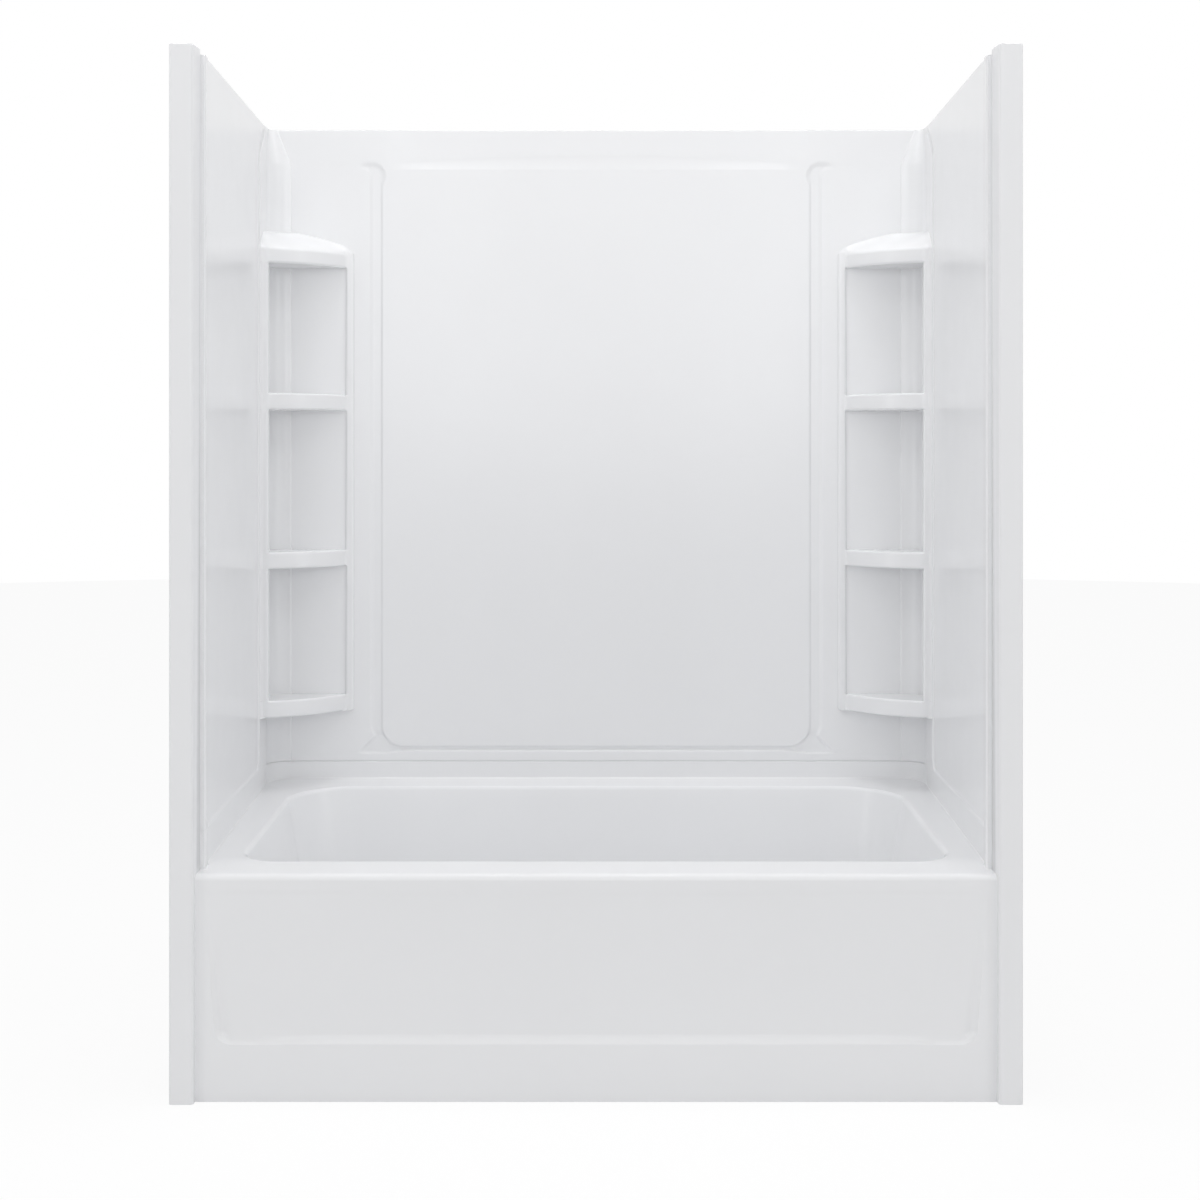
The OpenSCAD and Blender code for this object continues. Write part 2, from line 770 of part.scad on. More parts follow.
// Batten bonded under the front rim
module rim_batten() {
    slope = front_rise / (front_rim - lip_r);
    y0 = apron_y + lip_r + 4;
    y1 = basin_y0 - bath_sheet - 16;
    top0 = lip_h - bath_sheet + slope * (y0 - apron_y - lip_r);
    top1 = top0 + slope * (y1 - y0);
    color(timber) along_x(basin_x - basin_front_r)
        polygon([[y0, top0 - batten_t], [y1, top0 - batten_t], [y1, top1 - 0.2], [y0, top0 - 0.2]]);
}

// Flange and threaded tube of the drain, with a cross that carries the stopper's post
module drain_flange_body() {
    color(chrome) translate(drain) {
        rotate_extrude($fn = 96) polygon([[tube_r - 3, -tube_l], [tube_r, -tube_l], [tube_r, 0],
            [drain_flange / 2, 0], [drain_flange / 2, flange_rise / 3],
            [drain_flange / 2 - 4, flange_rise], [tube_r - 1, flange_rise],
            [tube_r - 3, flange_rise - 2]]);
        translate([0, 0, -tube_l]) {
            difference() {
                cylinder(h = 6, r = post_r + 3, $fn = 48);
                translate([0, 0, -1]) cylinder(h = 8, r = post_r, $fn = 48);
            }
            for (a = [0, 90, 180, 270])
                rotate([0, 0, a]) translate([post_r + 1.5, -1.5, 0])
                    cube([tube_r - post_r - 3, 3, 5]);
        }
    }
}

module drain_gasket() {
    color(rubber_black) translate(drain) tube(drain_flange / 2 - 1, tube_r + fit,
        -bath_sheet - gasket_t, -bath_sheet);
}

// Shoe under the drain: flange, cup and side socket
module drain_shoe() {
    cup_r = tube_r + fit + 4;
    socket_l = 26;
    color(pipe_grey) translate([drain[0], drain[1], 0]) difference() {
        union() {
            translate([0, 0, shoe_top - 4]) cylinder(h = 4, r = drain_flange / 2, $fn = 96);
            translate([0, 0, waste_h - socket_r]) cylinder(h = shoe_top - waste_h + socket_r,
                r = cup_r, $fn = 96);
            translate([0, 0, waste_h]) rotate([0, -90, 0])
                cylinder(h = cup_r + socket_l, r = socket_r, $fn = 64);
        }
        translate([0, 0, waste_h - pipe_r + 1])
            cylinder(h = basin_floor, r = tube_r + fit, $fn = 96);
        translate([-cup_r + 2, 0, waste_h]) rotate([0, -90, 0])
            cylinder(h = socket_l + 10, r = pipe_r + fit, $fn = 64);
        translate([0, 0, waste_h]) rotate([0, -90, 0])
            cylinder(h = cup_r + socket_l, r = pipe_r - pipe_wall, $fn = 64);
    }
}

// Horizontal pipe from the shoe to the tee
module shoe_pipe() {
    x0 = pipe_x + socket_r + 5;
    x1 = drain[0] - tube_r - fit - 4;
    color(pipe_grey) translate([x0, drain[1], waste_h]) rotate([0, 90, 0])
        tube(pipe_r, pipe_r - pipe_wall, 0, x1 - x0);
}

// Tee that joins the overflow pipe, the drain's pipe and the tailpiece
module waste_tee() {
    top = waste_h + tee_half + 6;
    foot = waste_h - tee_half;
    color(pipe_grey) translate([pipe_x, drain[1], 0]) difference() {
        union() {
            translate([0, 0, foot]) cylinder(h = top - foot, r = socket_r, $fn = 64);
            translate([0, 0, waste_h]) rotate([0, 90, 0])
                cylinder(h = branch_l, r = socket_r, $fn = 64);
        }
        translate([0, 0, foot - 1]) cylinder(h = top - foot + 2, r = pipe_r - pipe_wall, $fn = 64);
        translate([0, 0, waste_h + pipe_r]) cylinder(h = top, r = pipe_r + fit, $fn = 64);
        translate([0, 0, foot - 1]) cylinder(h = 9, r = pipe_r + fit, $fn = 64);
        translate([0, 0, waste_h]) rotate([0, 90, 0])
            cylinder(h = branch_l + 1, r = pipe_r - pipe_wall, $fn = 64);
        translate([socket_r + 4, 0, waste_h]) rotate([0, 90, 0])
            cylinder(h = branch_l, r = pipe_r + fit, $fn = 64);
    }
}

// Short pipe that carries the waste down, with a stop ring under the tee's nut
module tailpiece() {
    ring_top = waste_h - tee_half - nut_past - fit;
    color(pipe_grey) translate([pipe_x, drain[1], 0]) {
        tube(pipe_r, pipe_r - pipe_wall, 1, waste_h - tee_half + 7);
        tube(pipe_r + 2, pipe_r - pipe_wall / 2, ring_top - 2.7, ring_top);
    }
}

module overflow_pipe() {
    color(pipe_grey) translate([pipe_x, drain[1], 0])
        tube(pipe_r, pipe_r - pipe_wall, waste_h + pipe_r + 1, bend_end_z - socket_floor);
}

// Elbow behind the overflow: head against the bath, bend, and socket for the pipe
module overflow_elbow() {
    color(pipe_grey) difference() {
        union() {
            on_overflow() {
                translate([0, 0, bath_sheet + gasket_t])
                    cylinder(h = head_t, r = overflow_plate_d / 2 - 2, $fn = 96);
                translate([0, 0, -2]) cylinder(h = bath_sheet + gasket_t + 4,
                    r = overflow_hole / 2 - 1, $fn = 96);
                elbow_bend(pipe_r + 1);
            }
            translate([pipe_x, drain[1], bend_end_z - socket_deep])
                cylinder(h = socket_deep, r = socket_r, $fn = 64);
        }
        on_overflow() {
            translate([0, 0, -3]) cylinder(h = bend_out + 3.2, r = pipe_r - pipe_wall, $fn = 64);
            elbow_bend(pipe_r - pipe_wall - 0.2);
            for (s = [-1, 1])
                translate([0, s * plate_screw, -3])
                    cylinder(h = bend_out + 6, r = plate_screw_r, $fn = 32);
        }
        translate([pipe_x, drain[1], bend_end_z - socket_floor - 1])
            cylinder(h = socket_floor + 1.2, r = pipe_r - pipe_wall, $fn = 64);
        translate([pipe_x, drain[1], bend_end_z - socket_deep - 1])
            cylinder(h = socket_deep - socket_floor + 1, r = pipe_r + fit, $fn = 64);
    }
}

// Quarter bend, reaching a little into the head and into the socket
module elbow_bend(r) {
    over = 2;
    translate([-bend_r, 0, bend_out]) rotate([-90, 0, 0]) rotate([0, 0, over])
        rotate_extrude(angle = -bend_angle - 2 * over, $fn = 96) translate([bend_r, 0])
            circle(r = r, $fn = 64);
}

module overflow_gasket() {
    color(rubber_black) on_overflow()
        tube(overflow_plate_d / 2 - 1, overflow_hole / 2 - 0.7, bath_sheet, bath_sheet + gasket_t);
}

// Domed plate inside the basin, with two screws
module overflow_plate() {
    r = overflow_plate_d / 2;
    color(chrome) on_overflow() difference() {
        rotate_extrude($fn = 96) polygon([[0, -plate_rise], [plate_screw + 5, -plate_rise],
            [r - 4, 2 - plate_rise], [r, -3], [r, 0], [r - 3, 0], [r - 3, -2.5],
            [r - 7, -4.5], [r - 11, 2.5 - plate_rise], [0, 2.5 - plate_rise]]);
        for (s = [-1, 1])
            translate([0, s * plate_screw, -plate_rise - 1])
                cylinder(h = plate_rise, r = plate_screw_r + 1, $fn = 32);
        translate([-r - 1, -8, -3]) cube([6, 16, 4]);
    }
}

module overflow_screws() {
    color(chrome) on_overflow() for (s = [-1, 1])
        translate([0, s * plate_screw, 0]) {
            translate([0, 0, -plate_rise - 1])
                cylinder(h = plate_rise + bend_out, r = plate_screw_r - 0.02, $fn = 32);
            translate([0, 0, -plate_rise - plate_head_h])
                cylinder(h = plate_head_h, r = 3 * plate_screw_r, $fn = 32);
        }
}

// Nuts that close the four slip joints
module slip_nuts() {
    color(pipe_grey) {
        translate([pipe_x, drain[1], 0]) {
            slip_nut(waste_h + tee_half + 6);
            mirror([0, 0, 1]) slip_nut(-(waste_h - tee_half));
            mirror([0, 0, 1]) slip_nut(-(bend_end_z - socket_deep));
        }
        translate([pipe_x, drain[1], waste_h]) rotate([0, 90, 0]) slip_nut(branch_l);
    }
}

// Cap nut over the end of a socket that ends at z, opening towards -Z
module slip_nut(z) {
    difference() {
        union() {
            translate([0, 0, z + nut_past - nut_l]) cylinder(h = nut_l, r = nut_r - 2, $fn = 64);
            for (a = [0:60:300])
                rotate([0, 0, a]) translate([nut_r - 4, -2, z + nut_past - nut_l])
                    cube([4, 4, nut_l]);
        }
        translate([0, 0, z - nut_l]) cylinder(h = nut_l + 3, r = socket_r + fit, $fn = 64);
        translate([0, 0, z]) cylinder(h = nut_l, r = pipe_r + fit, $fn = 64);
    }
}

module slip_washers() {
    color(rubber_black) {
        translate([pipe_x, drain[1], 0]) {
            tube(socket_r - 0.5, pipe_r, waste_h + tee_half + 6, waste_h + tee_half + 9);
            tube(socket_r - 0.5, pipe_r, waste_h - tee_half - 3, waste_h - tee_half);
            tube(socket_r - 0.5, pipe_r, bend_end_z - socket_deep - 3, bend_end_z - socket_deep);
        }
        translate([pipe_x, drain[1], waste_h]) rotate([0, 90, 0])
            tube(socket_r - 0.5, pipe_r, branch_l, branch_l + 3);
    }
}

// Fixed post on which the stopper slides
module stopper_post() {
    color(steel) translate(drain + [0, 0, -tube_l])
        cylinder(h = tube_l + post_top, r = post_r, $fn = 48);
}

// Domed cap with a sleeve that slides on the post
module stopper_cap() {
    r = tube_r + 2;
    h = cap_rise_h;
    sleeve_end = post_top - stopper_travel - sleeve_grip;
    color(chrome) translate(drain) rotate_extrude($fn = 96) polygon([[0, h], [r * 0.5, h - 0.6],
        [r * 0.85, h - 2.4], [r, h - 4.4], [r, flange_rise + 1], [post_r + 3, flange_rise + 0.5],
        [post_r + 3, sleeve_end], [post_r + fit, sleeve_end], [post_r + fit, post_top + 3],
        [0, post_top + 3]]);
}

// Sealing ring under the cap
module stopper_gasket() {
    color(rubber_black) translate(drain)
        tube(tube_r - 3.6, post_r + 3, -1, flange_rise + 0.5);
}

bath();
back_wall();
left_end_wall();
right_end_wall();
left_column();
right_column();
left_shelf_tower();
right_shelf_tower();
left_column_clips();
right_column_clips();
left_column_screws();
right_column_screws();
left_tower_screws();
right_tower_screws();
basin_pads();
apron_brace();
rim_batten();
drain_flange_body();
drain_gasket();
drain_shoe();
shoe_pipe();
waste_tee();
tailpiece();
overflow_pipe();
overflow_elbow();
overflow_gasket();
overflow_plate();
overflow_screws();
slip_nuts();
slip_washers();
stopper_post();
stopper_cap();
stopper_gasket();
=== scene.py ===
"""Looks of an alcove bath with its wall surround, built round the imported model."""
import math

import bmesh
import bpy
from bpy.props import FloatProperty, FloatVectorProperty, PointerProperty
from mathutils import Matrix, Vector


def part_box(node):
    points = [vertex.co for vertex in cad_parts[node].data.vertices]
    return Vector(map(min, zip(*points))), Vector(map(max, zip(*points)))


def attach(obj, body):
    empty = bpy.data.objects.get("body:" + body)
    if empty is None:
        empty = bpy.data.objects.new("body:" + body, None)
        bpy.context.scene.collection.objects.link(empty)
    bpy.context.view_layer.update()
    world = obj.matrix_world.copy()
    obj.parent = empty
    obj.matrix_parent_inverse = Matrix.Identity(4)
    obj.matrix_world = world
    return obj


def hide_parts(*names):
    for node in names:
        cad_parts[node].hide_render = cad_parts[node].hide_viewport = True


bl_info = {
    "name": "Alcove bath and wall surround",
    "version": (1, 0, 0),
    "blender": (4, 5, 0),
    "location": "3D View > Sidebar > Bath",
    "description": "Makes the moulded bath, wall panels, columns, shelf towers and fittings",
    "category": "Add Mesh",
}

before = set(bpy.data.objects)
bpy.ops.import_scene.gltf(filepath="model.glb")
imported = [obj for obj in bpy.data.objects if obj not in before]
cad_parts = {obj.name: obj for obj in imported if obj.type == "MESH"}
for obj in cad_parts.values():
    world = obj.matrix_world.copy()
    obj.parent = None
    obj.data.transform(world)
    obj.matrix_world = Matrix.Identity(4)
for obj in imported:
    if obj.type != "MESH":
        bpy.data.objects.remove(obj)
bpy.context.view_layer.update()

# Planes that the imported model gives
BATH_LOW, BATH_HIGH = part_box("bath")
COLUMN_LOW, COLUMN_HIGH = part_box("right_column")
BACK_LOW, BACK_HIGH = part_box("back_wall")
SIDE_X = BATH_HIGH.x
BACK_Y = BATH_HIGH.y
APRON_Y = BATH_LOW.y
NAIL_TOP = BATH_HIGH.z
FLANGE_Y = COLUMN_HIGH.y
FACE_Y = BACK_LOW.y
EDGE_H = BACK_LOW.z
WALL_TOP = BACK_HIGH.z
PANEL_RISE = 0.005
PLATE_Y = FACE_Y + PANEL_RISE

# Plan line of the end walls
FRONT_STAND = 0.054
BACK_STAND = 0.034
SLOPE = (FRONT_STAND - BACK_STAND) / (FACE_Y - FLANGE_Y)
TURN = math.atan(SLOPE)
FRONT_ROUND = 0.004
COVE_R = 0.048
COVE_PARTS = 10
FOOT_R = 0.003
GROOVE_DEEP = 0.0012
STRIP_RISE = 0.003
STRIP_END = FLANGE_Y + 0.0215
# Place in the plan line where its nose ends
NOSE_END = 9

# Basin and deck of the bath
BASIN_X = SIDE_X - FRONT_STAND - 0.056
BASIN_Y0 = APRON_Y + 0.075
BASIN_Y1 = FACE_Y - 0.060
BASIN_MID = (BASIN_Y0 + BASIN_Y1) / 2
BASIN_FLOOR = 0.100
FRONT_CORNER = 0.070
REAR_CORNER = 0.130
DRAIN_X = 0.200 - BASIN_X
DRAIN_R = 0.0255
RIM_FRONT_H = 0.417
RIM_REAR_H = 0.435
RIM_MID_H = (RIM_FRONT_H + RIM_REAR_H) / 2
LEDGE_H = 0.444
LEAN = 0.060 / (RIM_MID_H - BASIN_FLOOR)
FRONT_PARTS = 40
SIDE_PARTS = 12
SIDE_STOPS = [-0.350, -0.341, -0.339, -0.337, -0.335, -0.333, -0.318, -0.290]

# Lip, apron and nailing flange of the bath
LIP_H = 0.409
LIP_R = 0.012
APRON_X = 0.7175
LIP_X = APRON_X + 0.0042
FLANGE_THICK = 0.005
STUD_X = SIDE_X - FLANGE_THICK
STUD_Y = BACK_Y - FLANGE_THICK

# Deck border in front of a nose: where its front ends, and the points from there
BORDER_END = 0.697
BORDER_BENDS = ((1.45, 0.0014, -0.378), (1.5, 0.0009, -0.372), (1.55, 0.0004, -0.366))

# Slot behind a column, and gaps that keep faces apart
SLOT_X = (0.7355, 0.7475)
GAP = 0.0002
NICHE_BACK = FACE_Y - 0.0003

# Plan of a tower, and heights of the undersides and tops of its shelves and cap
TOWER_DEEP = 0.128
TOWER_END = 0.558
TOWER_RETURN = 0.0185
TOWER_HOLLOW = 0.010
SHELF_LEVELS = (0.5955, 0.632, 0.9175, 0.9535, 1.2625, 1.2985, 1.5805, 1.612)

# Thickness of the moulded sheets
BATH_SHEET = 0.005
BACK_SHEET = 0.004
END_SHEET = 0.0028
COLUMN_SHEET = 0.004

# The photograph's frame, its focal length and the eye's place in it, in pixels
FRAME_PX = 1200
FOCAL_PX = 1779
EYE_PX = (596, 458)
EYE = (0.0, -3.5895, 1.1576)

# How far the floor shows as background, and its radius
FLOOR_SHOWS = 0.86
FLOOR_RADIUS = 14.0


def ease(t):
    """Soft step from 0 to 1"""
    t = min(max(t, 0.0), 1.0)
    return t * t * (3 - 2 * t)


def wall_x(y, out=0.0):
    """Face of the right-hand end wall at a depth, moved outwards"""
    strip = STRIP_RISE * (1 - ease((y - STRIP_END) / 0.008))
    return SIDE_X - FRONT_STAND + SLOPE * (y - FLANGE_Y) - strip + out / math.cos(TURN)


def cove_centre(radius, step=0.0):
    """Centre of the hollow corner between the right-hand wall and the back wall"""
    y = FACE_Y - step - radius
    return wall_x(y) - radius / math.cos(TURN), y


def arc(cx, cy, radius, start, end, parts):
    """Points of an arc, with its angles in degrees"""
    turns = [math.radians(start + (end - start) * i / parts) for i in range(parts + 1)]
    return [(cx + radius * math.cos(a), cy + radius * math.sin(a)) for a in turns]


def beside_column(out, nose_x):
    """Plan of the narrow groove between a column and the nose of a wall"""
    front = FLANGE_Y + out
    deep = max(front, FLANGE_Y + GROOVE_DEEP * min(1 + out / FOOT_R, 1))
    outer = max(APRON_X + 0.0009, nose_x + 0.0012)
    return [(outer, front), (outer - 0.0001, deep), (max(0.7125, nose_x + 0.0004), deep)]


def wall_line(out, stops, flange_x, cove=COVE_R, step=0.0, parts=COVE_PARTS):
    """Plan of a wall's face from its front flange to the seam, moved outwards"""
    y = FLANGE_Y + FRONT_ROUND
    if out < FRONT_ROUND:
        nose = arc(wall_x(y) + FRONT_ROUND / math.cos(TURN), y, FRONT_ROUND - out, 270,
                   180 - math.degrees(TURN), 5)
    else:
        nose = [(wall_x(FLANGE_Y + out, out), FLANGE_Y + out)] * 6
    side = [(wall_x(max(s, FLANGE_Y + out), out), max(s, FLANGE_Y + out)) for s in stops]
    cx, cy = cove_centre(cove, step)
    return ([(flange_x, FLANGE_Y + out)] + beside_column(out, nose[0][0]) + nose + side
            + arc(cx, cy, cove + out, -math.degrees(TURN), 90, parts))


# Mesh helpers

def verts_of(geom):
    """The vertices among parts of a mesh"""
    return [g for g in geom if isinstance(g, bmesh.types.BMVert)]


def with_borders(faces):
    """Faces together with their vertices and edges"""
    return list({g for f in faces for g in list(f.verts) + list(f.edges)}) + faces


def round_edges(bm, edges, radius, segments=4):
    bmesh.ops.bevel(bm, geom=edges, offset=radius, segments=segments, profile=0.5,
                    affect="EDGES", material=-1)


def start_line(bm, points):
    """A line of vertices joined by edges"""
    verts = [bm.verts.new(p) for p in points]
    for a, b in zip(verts, verts[1:]):
        bm.edges.new((a, b))
    return verts


def steps(start, end, step):
    """Even steps from start up to end, without the end"""
    count = max(round((end - start) / step), 1)
    return [start + (end - start) * i / count for i in range(count)]


def line_edges(bm, verts, closed):
    """The edges along a line of vertices, made where they are missing"""
    pairs = list(zip(verts, verts[1:]))
    if closed:
        pairs.append((verts[-1], verts[0]))
    return [bm.edges.get(p) or bm.edges.new(p) for p in pairs]


def next_line(bm, verts, points, closed=False):
    """Extrudes a line of vertices and puts its copy on the points"""
    made = bmesh.ops.extrude_edge_only(bm, edges=line_edges(bm, verts, closed))["geom"]
    fresh = set(verts_of(made))
    line = []
    for v, p in zip(verts, points):
        n = next(e.other_vert(v) for e in v.link_edges if e.other_vert(v) in fresh)
        n.co = p
        line.append(n)
    return line


def face_towards(bm, place, direction):
    """Makes the normals agree, and turns them so that the face nearest a place looks that way"""
    bmesh.ops.recalc_face_normals(bm, faces=bm.faces[:])
    place = Vector(place)
    near = min(bm.faces, key=lambda f: (f.calc_center_median() - place).length)
    if near.normal.dot(Vector(direction)) < 0:
        bmesh.ops.reverse_faces(bm, faces=bm.faces[:])


def set_piece(bm, name, slot, material, body="surround", stands_for=(), sharp=35,
              wall=0.0):
    """Makes an object of the mesh, gives it its finish, and fixes it to its body"""
    for f in bm.faces:
        f.smooth = True
    limit = math.radians(sharp)
    for e in bm.edges:
        if len(e.link_faces) == 2 and e.calc_face_angle(0.0) > limit:
            e.smooth = False
    mesh = bpy.data.meshes.new(name)
    bm.to_mesh(mesh)
    bm.free()
    piece = bpy.data.objects.new(name, mesh)
    bpy.context.scene.collection.objects.link(piece)
    mesh.materials.append(material)
    if wall:
        sheet = piece.modifiers.new("Sheet", "SOLIDIFY")
        sheet.thickness = wall
        sheet.offset = -1
        sheet.use_rim = True
    flat = piece.modifiers.new("Flats", "WEIGHTED_NORMAL")
    flat.mode = "FACE_AREA_WITH_ANGLE"
    flat.keep_sharp = True
    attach(piece, body)
    if stands_for:
        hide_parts(*stands_for)


def set_pair(context, skin, name, node, **rest):
    """Makes a piece for each side, the left one as the mirror image of the right one"""
    for side in ("left", "right"):
        bm = skin(context.scene.bath_kit)
        if side == "left":
            bmesh.ops.scale(bm, vec=(-1, 1, 1), verts=bm.verts[:])
            bmesh.ops.reverse_faces(bm, faces=bm.faces[:])
        set_piece(bm, side + name, "white_shell", finish_of(context, "gloss_shell"),
                  stands_for=[side + node], **rest)


def box_part(bm, low, high):
    """A box between two corners"""
    low, high = Vector(low), Vector(high)
    verts = bmesh.ops.create_cube(bm, size=1.0)["verts"]
    bmesh.ops.scale(bm, vec=high - low, verts=verts)
    bmesh.ops.translate(bm, vec=(low + high) / 2, verts=verts)


def inset_rings(bm, face, width, rows):
    """Insets a face in equal steps and gives its rings of vertices with their share inwards"""
    rings = []
    for i in range(rows):
        made = bmesh.ops.inset_region(bm, faces=[face], thickness=width / rows, depth=0.0,
                                      use_even_offset=True)["faces"]
        inner = set(face.verts)
        outer = {v for f in made for v in f.verts if v not in inner}
        rings.append((list(outer), i / rows))
    return rings + [(list(face.verts), 1.0)]


# Node helpers

def new_material(name):
    """A material with its node tree and its shader"""
    material = bpy.data.materials.new(name)
    material.use_nodes = True
    tree = material.node_tree
    return material, tree, tree.nodes["Principled BSDF"]


def add_node(tree, kind, **inputs):
    """A node with values on its inputs"""
    node = tree.nodes.new(kind)
    for key, value in inputs.items():
        node.inputs[key].default_value = value
    return node


def reckon(tree, kind, first, second):
    """Result of a sum with an output and another output or a number"""
    node = tree.nodes.new("ShaderNodeMath")
    node.operation = kind
    tree.links.new(first, node.inputs[0])
    if isinstance(second, float):
        node.inputs[1].default_value = second
    else:
        tree.links.new(second, node.inputs[1])
    return node.outputs[0]


def object_noise(tree, scale, detail=2.0, stretch=(1, 1, 1), bend=0.0):
    """Noise in object coordinates"""
    place = tree.nodes.new("ShaderNodeTexCoord")
    turn = add_node(tree, "ShaderNodeMapping", Scale=stretch)
    noise = add_node(tree, "ShaderNodeTexNoise", Scale=scale, Detail=detail, Distortion=bend)
    tree.links.new(place.outputs["Object"], turn.inputs["Vector"])
    tree.links.new(turn.outputs["Vector"], noise.inputs["Vector"])
    return noise.outputs["Fac"]


def set_rough(tree, shader, source, low, high):
    """Roughness between two values, over the middle range of a noise"""
    node = add_node(tree, "ShaderNodeMapRange", **{"From Min": 0.3, "From Max": 0.7,
                                                   "To Min": low, "To Max": high})
    tree.links.new(source, node.inputs["Value"])
    tree.links.new(node.outputs["Result"], shader.inputs["Roughness"])


def set_tint(tree, shader, factor, first, second):
    """Base colour between two tones"""
    ramp = tree.nodes.new("ShaderNodeValToRGB")
    for stop, at, tone in zip(ramp.color_ramp.elements, (0.35, 0.65), (first, second)):
        stop.position = at
        stop.color = (*tone, 1)
    tree.links.new(factor, ramp.inputs["Fac"])
    tree.links.new(ramp.outputs["Color"], shader.inputs["Base Color"])


def set_relief(tree, shader, height, depth):
    """Bump from a height"""
    bump = add_node(tree, "ShaderNodeBump", Strength=1.0, Distance=depth)
    tree.links.new(height, bump.inputs["Height"])
    tree.links.new(bump.outputs["Normal"], shader.inputs["Normal"])


def shade(colour, factor):
    return tuple(c * factor for c in colour)


def gloss_shell(colour):
    """White gloss moulding: faint mottling, a slight ripple and fine haze in the gloss"""
    material, tree, shader = new_material("gloss_shell")
    set_tint(tree, shader, object_noise(tree, 3.0, 3.0), shade(colour, 0.992), colour)
    set_rough(tree, shader, object_noise(tree, 14.0, 3.0), 0.175, 0.195)
    shader.inputs["IOR"].default_value = 1.49
    set_relief(tree, shader, object_noise(tree, 20.0, 1.0), 0.00001)
    return material


def polished_chrome(colour):
    """Chrome with a faint haze and fine wipe marks"""
    material, tree, shader = new_material("polished_chrome")
    shader.inputs["Metallic"].default_value = 1.0
    wipe = object_noise(tree, 120.0, 3.0, (1, 1, 6))
    set_tint(tree, shader, wipe, shade(colour, 0.96), colour)
    set_rough(tree, shader, wipe, 0.05, 0.11)
    return material


def waste_plastic(colour):
    """Moulded pipe plastic: flow marks and a fine satin grain"""
    material, tree, shader = new_material("waste_plastic")
    flow = object_noise(tree, 18.0, 3.0, (1, 1, 3))
    grain = object_noise(tree, 900.0)
    set_tint(tree, shader, flow, shade(colour, 0.94), colour)
    set_rough(tree, shader, grain, 0.38, 0.52)
    set_relief(tree, shader, grain, 0.00005)
    return material


def black_rubber(colour):
    """Matt rubber with a fine bloom"""
    material, tree, shader = new_material("black_rubber")
    bloom = object_noise(tree, 300.0, 4.0)
    set_tint(tree, shader, bloom, colour, shade(colour, 1.6))
    set_rough(tree, shader, bloom, 0.6, 0.8)
    set_relief(tree, shader, bloom, 0.0001)
    return material


def zinc_steel(colour):
    """Zinc-plated steel: brushed lines and cloudy spangles"""
    material, tree, shader = new_material("zinc_steel")
    shader.inputs["Metallic"].default_value = 1.0
    brush = object_noise(tree, 700.0, 2.0, (1, 1, 0.05))
    set_tint(tree, shader, object_noise(tree, 160.0), shade(colour, 0.85), colour)
    set_rough(tree, shader, brush, 0.25, 0.42)
    set_relief(tree, shader, brush, 0.00003)
    return material


def beaded_foam(colour):
    """Stiff foam: closed beads with dark lines between them"""
    material, tree, shader = new_material("beaded_foam")
    place = tree.nodes.new("ShaderNodeTexCoord")
    beads = add_node(tree, "ShaderNodeTexVoronoi", Scale=220.0)
    beads.feature = "DISTANCE_TO_EDGE"
    tree.links.new(place.outputs["Object"], beads.inputs["Vector"])
    edge = add_node(tree, "ShaderNodeMapRange", **{"From Max": 0.12})
    tree.links.new(beads.outputs["Distance"], edge.inputs["Value"])
    set_tint(tree, shader, edge.outputs["Result"], shade(colour, 0.82), colour)
    shader.inputs["Roughness"].default_value = 0.85
    set_relief(tree, shader, edge.outputs["Result"], 0.0004)
    return material


def sawn_timber(colour):
    """Sawn softwood along X: grain bands, fine pores and saw marks"""
    material, tree, shader = new_material("sawn_timber")
    grain = object_noise(tree, 90.0, 5.0, (0.04, 1, 1), bend=0.6)
    saw = object_noise(tree, 400.0, 3.0, (1, 0.1, 0.1))
    set_tint(tree, shader, grain, shade(colour, 0.62), colour)
    set_rough(tree, shader, saw, 0.6, 0.8)
    set_relief(tree, shader, saw, 0.0003)
    return material


def white_floor():
    """Pale floor that shows mostly as plain background to the camera and to reflections"""
    material, tree, _ = new_material("studio_floor")
    tree.nodes.clear()
    out = tree.nodes.new("ShaderNodeOutputMaterial")
    pale = add_node(tree, "ShaderNodeBsdfDiffuse", Color=(0.82, 0.82, 0.825, 1))
    glow = add_node(tree, "ShaderNodeEmission", Color=(1, 1, 1, 1), Strength=1.04)
    mix = tree.nodes.new("ShaderNodeMixShader")
    rays = tree.nodes.new("ShaderNodeLightPath")
    seen = reckon(tree, "MAXIMUM", rays.outputs["Is Camera Ray"], rays.outputs["Is Glossy Ray"])
    tree.links.new(reckon(tree, "MULTIPLY", seen, FLOOR_SHOWS), mix.inputs[0])
    tree.links.new(pale.outputs[0], mix.inputs[1])
    tree.links.new(glow.outputs[0], mix.inputs[2])
    tree.links.new(mix.outputs[0], out.inputs["Surface"])
    return material


# Shapes of the bath

def deck_z(y):
    """Height of the deck at a depth: front rim, gentle rise, rear ledge"""
    soft = 0.012

    def bend(at, before, after):
        d = y - at
        if d < -soft:
            return before * d
        if d > soft:
            return after * d
        t = (d + soft) / (2 * soft)
        return -before * soft + before * (d + soft) + (after - before) * soft * t * t

    front = (RIM_FRONT_H - LIP_H) / (BASIN_Y0 - APRON_Y - LIP_R)
    middle = (RIM_REAR_H - RIM_FRONT_H) / (BASIN_Y1 - BASIN_Y0)
    rear = (LEDGE_H - RIM_REAR_H) / (PLATE_Y - BASIN_Y1)
    return (RIM_FRONT_H + bend(BASIN_Y0, front, middle)
            + bend(BASIN_Y1, 0.0, rear - middle))


